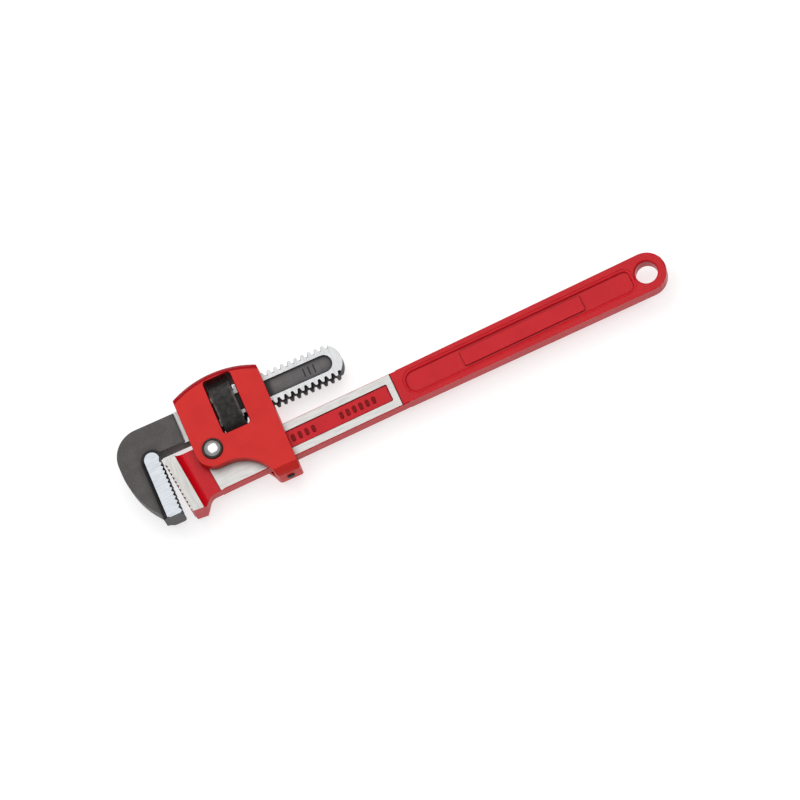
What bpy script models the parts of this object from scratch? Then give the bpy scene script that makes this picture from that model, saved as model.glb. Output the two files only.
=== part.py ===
"""Stillson-pattern pipe wrench, 450 mm class, lying on its side.

X runs along the handle, with the jaws at -X and the hanging eye at +X.
The jaws open towards -Y.  Z is up.  The origin is the middle of the base.
Sizes are in millimetres here and are turned into metres in the meshes.
"""

import math

import bmesh
import bpy
from mathutils import Matrix, Vector

MM = 0.001

# Clearances shared by everything that fits together.
SEAT_GAP = 0.3          # between pieces that rest on or are riveted to each other
RUNNING_GAP = 0.35      # a pin in the hole that turns on it
THREAD_GAP = 0.3        # nut thread to shank thread
SIDE_GAP = 0.5          # handle to each side plate of the frame
SHANK_SIDE_GAP = 0.7    # shank to each side plate of the frame
SHANK_GUIDE_GAP = 0.6   # shank thread crests to the frame above and below

# Frame, measured from the pivot, with the shank axis parallel to X.
FRAME_TILT = -1.25      # degrees, how far the frame leans on the handle at rest
FRAME_FRONT = -12.6
FRAME_REAR = 50.4
FRAME_HALF = 15.0       # half of its thickness
FRAME_CREST_X = 18.6
FRAME_CREST_Y = 52.0
FRAME_TOP_RADIUS = 72.0
FRAME_TOP_BEVEL = 4.2
LOBE_RADIUS = 12.6
ARCH_X = 5.0
ARCH_RADIUS = 29.0
LUG_FRONT = 32.8
LUG_BOTTOM = -35.9
LUG_FLOOR = 5.1         # thickness of the saddle under the handle
LUG_CHAMFER_Y = 4.3
LUG_CHAMFER_Z = 7.0
WEB_FRONT = 34.0        # cross web between shank and handle
WINDOW_FRONT_GAP = 1.1  # window edge to the nut's front end
WINDOW_REAR_GAP = 2.9   # window edge to the nut's rear end
WINDOW_RIM_GAP = 1.5    # window ends to the nut's rim
WINDOW_ROUND = 2.0

# Shank and nut.
SHANK_Y = 26.7          # shank axis above the pivot
SHANK_HALF = 6.0        # half of the shank's thickness
THREAD_RADIUS = 13.45
THREAD_DEPTH = 2.65
THREAD_PITCH = 5.08     # five threads to the inch
THREAD_FLANK = 20.0     # degrees
THREAD_START = 0.5
THREAD_SIDES = 24       # facets in a turn
SHANK_END = 106.5
NECK_BELOW_CREST = 1.75
WEB_HALF = 6.35         # sunk strip along each side of the shank
WEB_SINK = 1.4
WEB_START = -4.0
WEB_END_GAP = 7.0       # from the strip's round end to the shank's end
NUT_RADIUS = 18.5
NUT_FRONT = 12.6
NUT_LENGTH = 15.9
NUT_CHAMFER = 0.8
NUT_COUNTERSINK = 1.2

# Hook, measured from the pivot in X and from the shank axis in Y.
HOOK_HALF = 8.0
HOOK_SHOULDER = -15.9
HOOK_TOP_DROP = 0.8     # hook's top below the neck's
HOOK_UNDER_DROP = 0.6   # hook's underside above the neck's
HOOK_BACK = -64.9
HOOK_BACK_KNEE = -34.9  # where the straight back would meet the slanted one
HOOK_BACK_ROUND = 58.0
HOOK_CORNER_ROUND = 20.0
NOSE_SLANT_X = -46.4
NOSE_BOTTOM = -58.3
NOSE_TIP_X = -36.2
PAD_HALF = 11.0
PAD_FRONT = -47.2
PAD_TOP = -9.6
PAD_BOTTOM = -57.4
HOOK_TOOTH_TIP = -36.4
HOOK_TOOTH_TOP = -18.0
HOOK_TEETH = 11

# Handle, measured from the pivot in X and from the handle's own axis in Y.
PIVOT_ABOVE_AXIS = 14.7
BAR_HALF_HEIGHT = 12.5
BAR_HALF = 6.2          # half thickness over the ground side panels
SKIN_PROUD = 0.15       # forged skin left proud of the ground panels
TAIL_RADIUS = 14.1
EYE_X = 322.2
EYE_RADIUS = 7.85
EYE_LIP = 1.6
PANEL_START = -9.0
PANEL_END = 132.0
GROOVE_START = 44.0
GROOVE_END = 127.0
GROOVE_HALF = 6.2
GROOVE_SINK = 0.8
POCKET_START = 138.7
POCKET_END = 312.0
POCKET_HALF = 8.9
POCKET_SINK = 1.9
PAD_START = 182.0
PAD_END = 273.5
PAD_HALF_HEIGHT = 5.8
PAD_BELOW = 0.9         # top of the raised pad below the bar's face
HEEL_LEAN = 5.3         # degrees that the tooth face leans
HEEL_TIP_X = -34.9      # tooth tips where they cross the top of the heel
HEEL_TOP = 22.6
HEEL_BOTTOM = -19.4
HEEL_HALF = 11.0
HEEL_PAD_DEPTH = 9.0    # from tooth tips to the pad's rear edge
HEEL_SLOPE = 6.0        # length of the hollow slope behind the pad
HEAD_HALF = 5.2         # half thickness of the red flat behind the slope
HEAD_TOP = 24.0
HEAD_TOP_END = 8.0
HEAD_UNDER_NUT = 1.5    # head below the nut
HEEL_TEETH = 12
TOOTH_PITCH = 3.3
TOOTH_DEPTH = 1.2

# Rivets and springs.
RIVET_RADIUS = 4.6
RIVET_HEAD_RADIUS = 7.25
RIVET_HEAD_HEIGHT = 2.6
SMALL_RIVET_RADIUS = 1.3
SMALL_HEAD_RADIUS = 2.75
SMALL_HEAD_HEIGHT = 1.3
SPRING_RIVET_X = 42.0
SPRING_HALF_LENGTH = 7.4
SPRING_HALF_WIDTH = 4.6
SPRING_THICKNESS = 0.9
JAW_SPRING_X = -0.6
JAW_SPRING_HALF_LENGTH = 8.6
JAW_SPRING_THICKNESS = 0.9
JAW_SPRING_POCKET = 2.6
JAW_POCKET_END_GAP = 1.0
SPOT_FACE_GAP = 0.5     # round a rivet head in its spot face
SPRING_HEAD_HEIGHT = 0.6


def clear_scene():
    """Start from an empty scene."""
    for old in list(bpy.data.objects):
        bpy.data.objects.remove(old, do_unlink=True)


def paint(name, colour, metallic, roughness):
    """A plain Principled material."""
    material = bpy.data.materials.new(name)
    material.use_nodes = True
    shader = material.node_tree.nodes["Principled BSDF"]
    shader.inputs["Base Color"].default_value = (*colour, 1.0)
    shader.inputs["Metallic"].default_value = metallic
    shader.inputs["Roughness"].default_value = roughness
    material.diffuse_color = (*colour, 1.0)
    return material


def rounded(corners, degrees=9.0):
    """A closed outline from (x, y, radius) corners, with each corner rounded by its radius."""
    points = []
    count = len(corners)
    for k in range(count):
        before = Vector(corners[k - 1][:2])
        here = Vector(corners[k][:2])
        after = Vector(corners[(k + 1) % count][:2])
        radius = corners[k][2]
        if radius <= 0.0:
            points.append(here)
            continue
        back = (before - here).normalized()
        on = (after - here).normalized()
        half = 0.5 * back.angle(on)
        reach = radius / math.tan(half)
        centre = here + (back + on).normalized() * (radius / math.sin(half))
        first = here + back * reach - centre
        last = here + on * reach - centre
        sweep = first.angle_signed(last)
        steps = max(2, round(abs(math.degrees(sweep)) / degrees))
        for s in range(steps + 1):
            turn = Matrix.Rotation(-sweep * s / steps, 2)
            points.append(centre + turn @ first)
    return points


def arc(x, y, radius, start, end, steps):
    """Points on an arc, with angles in degrees."""
    points = []
    for s in range(steps + 1):
        angle = math.radians(start + (end - start) * s / steps)
        points.append(Vector((x + radius * math.cos(angle), y + radius * math.sin(angle))))
    return points


def finish(mesh_builder, name, smooth=0.0):
    """Turns a bmesh in millimetres into an object in metres."""
    bmesh.ops.recalc_face_normals(mesh_builder, faces=mesh_builder.faces)
    bmesh.ops.scale(mesh_builder, vec=(MM, MM, MM), verts=mesh_builder.verts)
    mesh = bpy.data.meshes.new(name)
    mesh_builder.to_mesh(mesh)
    mesh_builder.free()
    if smooth > 0.0:
        mesh.shade_smooth()
        mesh.set_sharp_from_angle(angle=math.radians(smooth))
    made = bpy.data.objects.new(name, mesh)
    bpy.context.scene.collection.objects.link(made)
    return made


def extruded(outline, low, high):
    """A bmesh prism with a flat outline, between two heights."""
    shape = bmesh.new()
    ring = [shape.verts.new((p[0], p[1], low)) for p in outline]
    base = shape.faces.new(ring)
    grown = bmesh.ops.extrude_face_region(shape, geom=[base])
    lifted = [v for v in grown["geom"] if isinstance(v, bmesh.types.BMVert)]
    bmesh.ops.translate(shape, vec=(0.0, 0.0, high - low), verts=lifted)
    return shape


def prism(name, outline, low, high, smooth=0.0):
    """A prism as an object."""
    return finish(extruded(outline, low, high), name, smooth)


def turned(name, profile, sides, smooth=30.0):
    """A solid turned about Z from (radius, z) points that start and end on the axis."""
    shape = bmesh.new()
    rings = []
    for radius, z in profile:
        if radius <= 0.0:
            rings.append([shape.verts.new((0.0, 0.0, z))])
            continue
        ring = []
        for s in range(sides):
            angle = 2.0 * math.pi * s / sides
            ring.append(shape.verts.new((radius * math.cos(angle), radius * math.sin(angle), z)))
        rings.append(ring)
    for lower, upper in zip(rings, rings[1:]):
        for s in range(sides):
            t = (s + 1) % sides
            if len(lower) == 1:
                shape.faces.new((lower[0], upper[s], upper[t]))
            elif len(upper) == 1:
                shape.faces.new((lower[s], lower[t], upper[0]))
            else:
                shape.faces.new((lower[s], lower[t], upper[t], upper[s]))
    return finish(shape, name, smooth)


def boolean(target, tool, operation="DIFFERENCE"):
    """Cuts or joins one object with another, which stays as a hidden guide."""
    tool.hide_render = True
    tool.display_type = "WIRE"
    if tool.parent is None:
        tool.parent = target
    step = target.modifiers.new(tool.name, "BOOLEAN")
    step.operation = operation
    step.solver = "EXACT"
    step.object = tool
    return step


def bevel_edges(shape, chosen, width, segments):
    """Bevels chosen edges of a bmesh."""
    bmesh.ops.bevel(
        shape,
        geom=chosen,
        offset=width,
        segments=segments,
        profile=0.5,
        affect="EDGES",
        clamp_overlap=True,
    )


def thread_profile(grow):
    """The ridge over one pitch as (x, radius) corners, grown outwards for a nut."""
    flank = math.radians(THREAD_FLANK)
    lean = THREAD_DEPTH * math.tan(flank)
    crest = 0.25 * (THREAD_PITCH - 2.0 * lean)
    crest += grow * (1.0 - math.sin(flank)) / math.cos(flank)
    outer = THREAD_RADIUS + grow
    inner = outer - THREAD_DEPTH
    return [(-crest - lean, inner), (-crest, outer), (crest, outer), (crest + lean, inner)]


def thread_solid(name, start, end, grow=0.0):
    """A closed right-hand screw about X, its ridge centred on x = 0 where it faces +Y."""
    corners = thread_profile(grow)
    first = math.floor(start / THREAD_PITCH) - 1
    last = math.ceil(end / THREAD_PITCH)
    line = []
    for k in range(first, last + 1):
        for x, radius in corners:
            line.append((x + k * THREAD_PITCH, radius))
    shape = bmesh.new()
    columns = []
    for i in range(THREAD_SIDES):
        turn = 2.0 * math.pi * i / THREAD_SIDES
        column = []
        for x, radius in line:
            place = (
                x + THREAD_PITCH * i / THREAD_SIDES,
                radius * math.cos(turn),
                radius * math.sin(turn),
            )
            column.append(shape.verts.new(place))
        columns.append(column)
    step = len(corners)
    top = len(line) - 1
    for i in range(THREAD_SIDES):
        here = columns[i]
        after = columns[(i + 1) % THREAD_SIDES]
        shift = step if i == THREAD_SIDES - 1 else 0
        for j in range(top - shift):
            shape.faces.new((here[j], here[j + 1], after[j + 1 + shift], after[j + shift]))
    low_edge = [column[0] for column in columns] + columns[0][step:0:-1]
    last_column = columns[-1]
    high_edge = [column[top] for column in columns[::-1]] + last_column[top - step:top]
    for rim, x in ((low_edge, line[0][0] - 1.0), (high_edge, line[-1][0] + THREAD_PITCH + 1.0)):
        middle = shape.verts.new((x, 0.0, 0.0))
        for k in range(len(rim)):
            shape.faces.new((rim[k], rim[(k + 1) % len(rim)], middle))
    return finish(shape, name, 30.0)


def saw_teeth(tip_x, first_y, count, side):
    """A toothed edge as points going down from first_y; side is the way the tips point."""
    points = []
    for k in range(count):
        y = first_y - k * TOOTH_PITCH
        points.append(Vector((tip_x - side * TOOTH_DEPTH, y)))
        points.append(Vector((tip_x, y - 0.42 * TOOTH_PITCH)))
        points.append(Vector((tip_x, y - 0.58 * TOOTH_PITCH)))
    points.append(Vector((tip_x - side * TOOTH_DEPTH, first_y - count * TOOTH_PITCH)))
    return points


def lean_point(x, y):
    """Turns a heel point by the tooth face's lean, about the top of the heel."""
    turn = math.radians(HEEL_LEAN)
    dx = x - HEEL_TIP_X
    dy = y - HEEL_TOP
    return Vector((
        HEEL_TIP_X + dx * math.cos(turn) - dy * math.sin(turn),
        HEEL_TOP + dx * math.sin(turn) + dy * math.cos(turn),
    ))


def bar_outline():
    """The handle bar from under the frame to the round tail."""
    top_under_nut = SHANK_Y - NUT_RADIUS - HEAD_UNDER_NUT + PIVOT_ABOVE_AXIS
    front = PANEL_START
    under = front + 2.0 * BAR_HALF_HEIGHT * math.tan(math.radians(HEEL_LEAN))
    points = [
        Vector((front - 0.9, HEAD_TOP)),
        Vector((under, -BAR_HALF_HEIGHT)),
        Vector((PANEL_END + 0.7, -BAR_HALF_HEIGHT)),
        Vector((PANEL_END + 3.2, -BAR_HALF_HEIGHT)),
    ]
    points += arc(EYE_X, 0.0, TAIL_RADIUS, -90.0, 90.0, 24)
    points += [
        Vector((PANEL_END + 3.2, BAR_HALF_HEIGHT)),
        Vector((PANEL_END + 0.7, BAR_HALF_HEIGHT)),
        Vector((WEB_FRONT - 5.5, BAR_HALF_HEIGHT)),
        Vector((NUT_FRONT + NUT_LENGTH - 4.0, BAR_HALF_HEIGHT + 1.6)),
        Vector((NUT_FRONT - 1.2, top_under_nut)),
        Vector((HEAD_TOP_END, HEAD_TOP)),
    ]
    return points


def head_outline():
    """The heel jaw and the head, down to the foot and its curve into the bar."""
    teeth = []
    for point in saw_teeth(HEEL_TIP_X, HEEL_TOP - 1.0, HEEL_TEETH, -1.0):
        teeth.append(lean_point(point.x, point.y))
    foot = lean_point(HEEL_TIP_X + 0.3, HEEL_BOTTOM)
    reach = 6.0
    points = [Vector((foot.x + reach * 0.12, foot.y + 0.2))]
    points += [
        Vector((foot.x + 7.0, HEEL_BOTTOM - 0.3)),
        Vector((foot.x + 11.0, HEEL_BOTTOM + 0.9)),
    ]
    curve_x = foot.x + 22.0
    curve_y = -BAR_HALF_HEIGHT - 9.0
    points += arc(curve_x, curve_y, 9.0 - 0.15, 138.0, 90.0, 5)
    points += [
        Vector((PANEL_START + 14.0, -BAR_HALF_HEIGHT + 1.0)),
        Vector((PANEL_START + 14.0, HEAD_TOP - 3.0)),
        Vector((PANEL_START + 5.0, HEAD_TOP - 0.4)),
        Vector((lean_point(HEEL_TIP_X, HEEL_TOP).x + 6.5, HEAD_TOP - 0.4)),
        Vector((HEEL_TIP_X + 1.6, HEEL_TOP)),
    ]
    return points + teeth


def heel_side_cutter(name, side):
    """Takes the head down from the pad, over the hollow slope, to the red flat."""
    profile = [Vector((HEEL_TIP_X + HEEL_PAD_DEPTH, HEEL_HALF + 3.0))]
    drop = HEEL_HALF - HEAD_HALF
    for s in range(9):
        angle = 0.5 * math.pi * s / 8
        x = HEEL_TIP_X + HEEL_PAD_DEPTH + HEEL_SLOPE * (1.0 - math.cos(angle))
        profile.append(Vector((x, HEEL_HALF + 0.01 - drop * math.sin(angle))))
    profile.append(Vector((PANEL_START + 24.0, HEAD_HALF)))
    profile.append(Vector((PANEL_START + 24.0, HEEL_HALF + 3.0)))
    shape = bmesh.new()
    ends = []
    for y in (HEEL_BOTTOM - 12.0, HEAD_TOP + 12.0):
        ring = []
        for point in profile:
            place = lean_point(point.x, y)
            ring.append(shape.verts.new((place.x, place.y, side * point.y)))
        ends.append(ring)
    shape.faces.new(ends[0])
    shape.faces.new(ends[1][::-1])
    count = len(profile)
    for k in range(count):
        m = (k + 1) % count
        shape.faces.new((ends[0][k], ends[0][m], ends[1][m], ends[1][k]))
    return finish(shape, name)


def pocket_cutter(name, side):
    """The long grip pocket, with sloping walls."""
    shape = bmesh.new()
    rings = []
    for inset, depth in ((-0.35, -0.3), (0.0, 0.0), (0.5, 0.55), (1.3, 1.0)):
        half = POCKET_HALF - inset
        corners = [
            (POCKET_START + inset, -half, half * 0.9),
            (POCKET_END - inset, -half, half * 0.62),
            (POCKET_END - inset, half, half * 0.62),
            (POCKET_START + inset, half, half * 0.9),
        ]
        z = side * (BAR_HALF + SKIN_PROUD - depth * POCKET_SINK)
        rings.append([shape.verts.new((p.x, p.y, z)) for p in rounded(corners, 15.0)])
    shape.faces.new(rings[0])
    shape.faces.new(rings[-1][::-1])
    count = len(rings[0])
    for lower, upper in zip(rings, rings[1:]):
        for k in range(count):
            m = (k + 1) % count
            shape.faces.new((lower[k], lower[m], upper[m], upper[k]))
    return finish(shape, name)


def make_handle(material):
    """Forged bar with the heel jaw, ground side panels, grip pockets and eye."""
    skin = BAR_HALF + SKIN_PROUD
    shape = extruded(bar_outline(), -skin, skin)
    rim = []
    for edge in shape.edges:
        low, high = sorted((edge.verts[0].co.x, edge.verts[1].co.x))
        flat = abs(edge.verts[0].co.z - edge.verts[1].co.z) < 0.01
        if flat and low > PANEL_END + 3.0 and high > PANEL_END + 3.3:
            rim.append(edge)
    bevel_edges(shape, rim, 1.4, 3)
    handle = finish(shape, "handle", 35.0)
    handle.data.materials.append(material)
    for side in (1.0, -1.0):
        low = min(side * BAR_HALF, side * (BAR_HALF + 5.0))
        high = max(side * BAR_HALF, side * (BAR_HALF + 5.0))
        ground = [
            (PANEL_START - 40.0, -2.0 * HEAD_TOP),
            (PANEL_END, -2.0 * HEAD_TOP),
            (PANEL_END, 2.0 * HEAD_TOP),
            (PANEL_START - 40.0, 2.0 * HEAD_TOP),
        ]
        boolean(handle, prism("ground_panel_%d" % side, ground, low, high))
    head = prism("handle_head_guide", head_outline(), -HEEL_HALF, HEEL_HALF, 35.0)
    for side in (1.0, -1.0):
        cutter = heel_side_cutter("heel_side_%d" % side, side)
        boolean(head, cutter)
    boolean(handle, head, "UNION")
    bore = turned(
        "pivot_bore",
        [(0.0, -20.0), (RIVET_RADIUS + RUNNING_GAP, -20.0), (RIVET_RADIUS + RUNNING_GAP, 20.0), (0.0, 20.0)],
        32,
    )
    bore.location = (0.0, PIVOT_ABOVE_AXIS * MM, 0.0)
    boolean(handle, bore)
    lip = EYE_RADIUS + EYE_LIP
    eye = turned(
        "eye_bore",
        [
            (0.0, -skin - 2.0),
            (lip + 2.0, -skin - 2.0),
            (EYE_RADIUS + 0.45 * EYE_LIP, -skin + 0.55 * EYE_LIP),
            (EYE_RADIUS, -skin + EYE_LIP),
            (EYE_RADIUS, skin - EYE_LIP),
            (EYE_RADIUS + 0.45 * EYE_LIP, skin - 0.55 * EYE_LIP),
            (lip + 2.0, skin + 2.0),
            (0.0, skin + 2.0),
        ],
        32,
    )
    eye.location = (EYE_X * MM, 0.0, 0.0)
    boolean(handle, eye)
    for side in (1.0, -1.0):
        low = min(side * (BAR_HALF - GROOVE_SINK), side * (BAR_HALF + 1.0))
        high = max(side * (BAR_HALF - GROOVE_SINK), side * (BAR_HALF + 1.0))
        corners = [
            (GROOVE_START, -GROOVE_HALF, 1.0),
            (GROOVE_END, -GROOVE_HALF, 1.0),
            (GROOVE_END, GROOVE_HALF, 1.0),
            (GROOVE_START, GROOVE_HALF, 1.0),
        ]
        boolean(handle, prism("panel_groove_%d" % side, rounded(corners, 30.0), low, high))
        pocket = pocket_cutter("grip_pocket_%d" % side, side)
        top = skin - PAD_BELOW
        pad_low = min(side * (skin - POCKET_SINK - 1.0), side * top)
        pad_high = max(side * (skin - POCKET_SINK - 1.0), side * top)
        corners = [
            (PAD_START, -PAD_HALF_HEIGHT, 1.2),
            (PAD_END, -PAD_HALF_HEIGHT, 1.2),
            (PAD_END, PAD_HALF_HEIGHT, 1.2),
            (PAD_START, PAD_HALF_HEIGHT, 1.2),
        ]
        boolean(pocket, prism("grip_pad_%d" % side, rounded(corners, 30.0), pad_low, pad_high))
        boolean(handle, pocket)
    return handle


def hook_under():
    """Level of the hook's underside, beside the neck."""
    return NECK_BELOW_CREST + HOOK_UNDER_DROP - THREAD_RADIUS


def hook_outline():
    """The hook and the neck, from the neck's end round the hook and back."""
    top = THREAD_RADIUS - NECK_BELOW_CREST - HOOK_TOP_DROP
    corners = [
        (HOOK_SHOULDER, hook_under(), 0.0),
        (HOOK_SHOULDER, top, 0.0),
        (HOOK_BACK, top, HOOK_CORNER_ROUND),
        (HOOK_BACK, HOOK_BACK_KNEE, HOOK_BACK_ROUND),
        (NOSE_SLANT_X, NOSE_BOTTOM, 7.0),
        (NOSE_TIP_X - TOOTH_DEPTH, NOSE_BOTTOM, 2.0),
        (HOOK_TOOTH_TIP - TOOTH_DEPTH, hook_under(), 2.5),
    ]
    return rounded(corners)


def pad_outline():
    """The tooth pad with a round top, its front edge toothed."""
    front = HOOK_TOOTH_TIP
    half = 0.5 * (front - PAD_FRONT)
    points = arc(PAD_FRONT + half, PAD_TOP - half, half, 0.0, 180.0, 12)
    points += [Vector((PAD_FRONT, PAD_BOTTOM + 3.0))]
    points += arc(PAD_FRONT + 2.5, NOSE_BOTTOM + 2.5, 2.5, 180.0, 270.0, 5)
    points += arc(NOSE_TIP_X - 2.0, NOSE_BOTTOM + 2.0, 2.0, 270.0, 360.0, 5)
    teeth = saw_teeth(HOOK_TOOTH_TIP, HOOK_TOOTH_TOP, HOOK_TEETH, 1.0)
    return points + teeth[::-1]


def shank_outline():
    """The flat shank with its round end, from inside the hook."""
    inside = HOOK_SHOULDER - 3.0
    points = [Vector((inside, -THREAD_RADIUS - 1.0)), Vector((inside, THREAD_RADIUS + 1.0))]
    end = SHANK_END - THREAD_RADIUS
    points += [Vector((end - 4.0, THREAD_RADIUS + 1.0))]
    points += arc(end, 0.0, THREAD_RADIUS + 0.03, 90.0, -90.0, 20)
    points += [Vector((end - 4.0, -THREAD_RADIUS - 1.0))]
    return points


def make_hook_jaw(material):
    """Hook, tooth pad, neck and threaded shank, all one forging."""
    shape = extruded(hook_outline(), -HOOK_HALF, HOOK_HALF)
    rim = []
    for edge in shape.edges:
        flat = abs(edge.verts[0].co.z - edge.verts[1].co.z) < 0.01
        ends = [edge.verts[0].co, edge.verts[1].co]
        on_shoulder = all(abs(v.x - HOOK_SHOULDER) < 0.01 for v in ends)
        on_face = all(v.x > HOOK_TOOTH_TIP - 6.0 and v.y < hook_under() - 1.0 for v in ends)
        if flat and not on_shoulder and not on_face:
            rim.append(edge)
    bevel_edges(shape, rim, 1.8, 2)
    jaw = finish(shape, "hook_jaw", 35.0)
    jaw.data.materials.append(material)
    pad = prism("jaw_pad_guide", pad_outline(), -PAD_HALF, PAD_HALF, 35.0)
    boolean(jaw, pad, "UNION")
    bar = prism("jaw_bar_guide", shank_outline(), -SHANK_HALF, SHANK_HALF, 35.0)
    screw = thread_solid("jaw_thread_guide", THREAD_START - 8.0, SHANK_END + 8.0)
    wide = 2.0 * THREAD_RADIUS
    before = [
        (HOOK_SHOULDER - 20.0, -wide),
        (THREAD_START, -wide),
        (THREAD_START, wide),
        (HOOK_SHOULDER - 20.0, wide),
    ]
    boolean(screw, prism("thread_start_guide", before, -wide, wide))
    half = THREAD_RADIUS - NECK_BELOW_CREST
    corners = [
        (HOOK_SHOULDER - 5.0, -half + 1.4),
        (HOOK_SHOULDER - 0.01, -half),
        (THREAD_START + 0.4, -half),
        (THREAD_START + 0.4, half),
        (HOOK_SHOULDER - 0.01, half),
        (HOOK_SHOULDER - 5.0, half - 1.4),
    ]
    neck = prism("jaw_neck_guide", corners, -SHANK_HALF - 3.0, SHANK_HALF + 3.0)
    boolean(screw, neck, "UNION")
    boolean(bar, screw, "INTERSECT")
    for side in (1.0, -1.0):
        low = min(side * (SHANK_HALF - WEB_SINK), side * (SHANK_HALF + 1.0))
        high = max(side * (SHANK_HALF - WEB_SINK), side * (SHANK_HALF + 1.0))
        end = SHANK_END - WEB_END_GAP
        corners = [
            (WEB_START, -WEB_HALF, 2.0),
            (end, -WEB_HALF, WEB_HALF - 0.05),
            (end, WEB_HALF, WEB_HALF - 0.05),
            (WEB_START, WEB_HALF, 2.0),
        ]
        boolean(bar, prism("shank_web_%d" % side, rounded(corners, 12.0), low, high))
    boolean(jaw, bar, "UNION")
    return jaw


def frame_outline():
    """Side view of the frame: lobe at the pivot, arch, lug, rear edge and curved top."""
    reach = math.acos((LUG_FRONT - ARCH_X) / ARCH_RADIUS)
    arch_y = -LOBE_RADIUS - ARCH_RADIUS + 0.1
    points = arc(0.0, 0.0, LOBE_RADIUS, 180.0, 272.0, 10)
    points += arc(ARCH_X, arch_y, ARCH_RADIUS, 90.0, math.degrees(reach), 12)
    points += [Vector((LUG_FRONT, LUG_BOTTOM + 3.0))]
    points += arc(LUG_FRONT + 3.0, LUG_BOTTOM + 3.0, 3.0, 190.0, 270.0, 4)
    points += arc(FRAME_REAR - 1.5, LUG_BOTTOM + 1.5, 1.5, 270.0, 360.0, 3)
    centre_y = FRAME_CREST_Y - FRAME_TOP_RADIUS
    first = math.degrees(math.acos((FRAME_REAR - FRAME_CREST_X) / FRAME_TOP_RADIUS))
    last = math.degrees(math.acos((FRAME_FRONT - FRAME_CREST_X) / FRAME_TOP_RADIUS))
    points += arc(FRAME_CREST_X, centre_y, FRAME_TOP_RADIUS, first, last, 16)
    return points


def spot_face_height():
    """Level of the spot face under the upper rivet's head, where it clears the curved top."""
    low_side = JAW_SPRING_X - SMALL_HEAD_RADIUS - SPOT_FACE_GAP - FRAME_CREST_X
    drop = FRAME_TOP_RADIUS - math.sqrt(FRAME_TOP_RADIUS ** 2 - low_side ** 2)
    return FRAME_CREST_Y - drop - 0.1


def along_handle(x, y):
    """A point given on the handle, as the tilted frame sees it."""
    turn = math.radians(-FRAME_TILT)
    dy = y - PIVOT_ABOVE_AXIS
    return Vector((x * math.cos(turn) - dy * math.sin(turn), x * math.sin(turn) + dy * math.cos(turn)))


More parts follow.
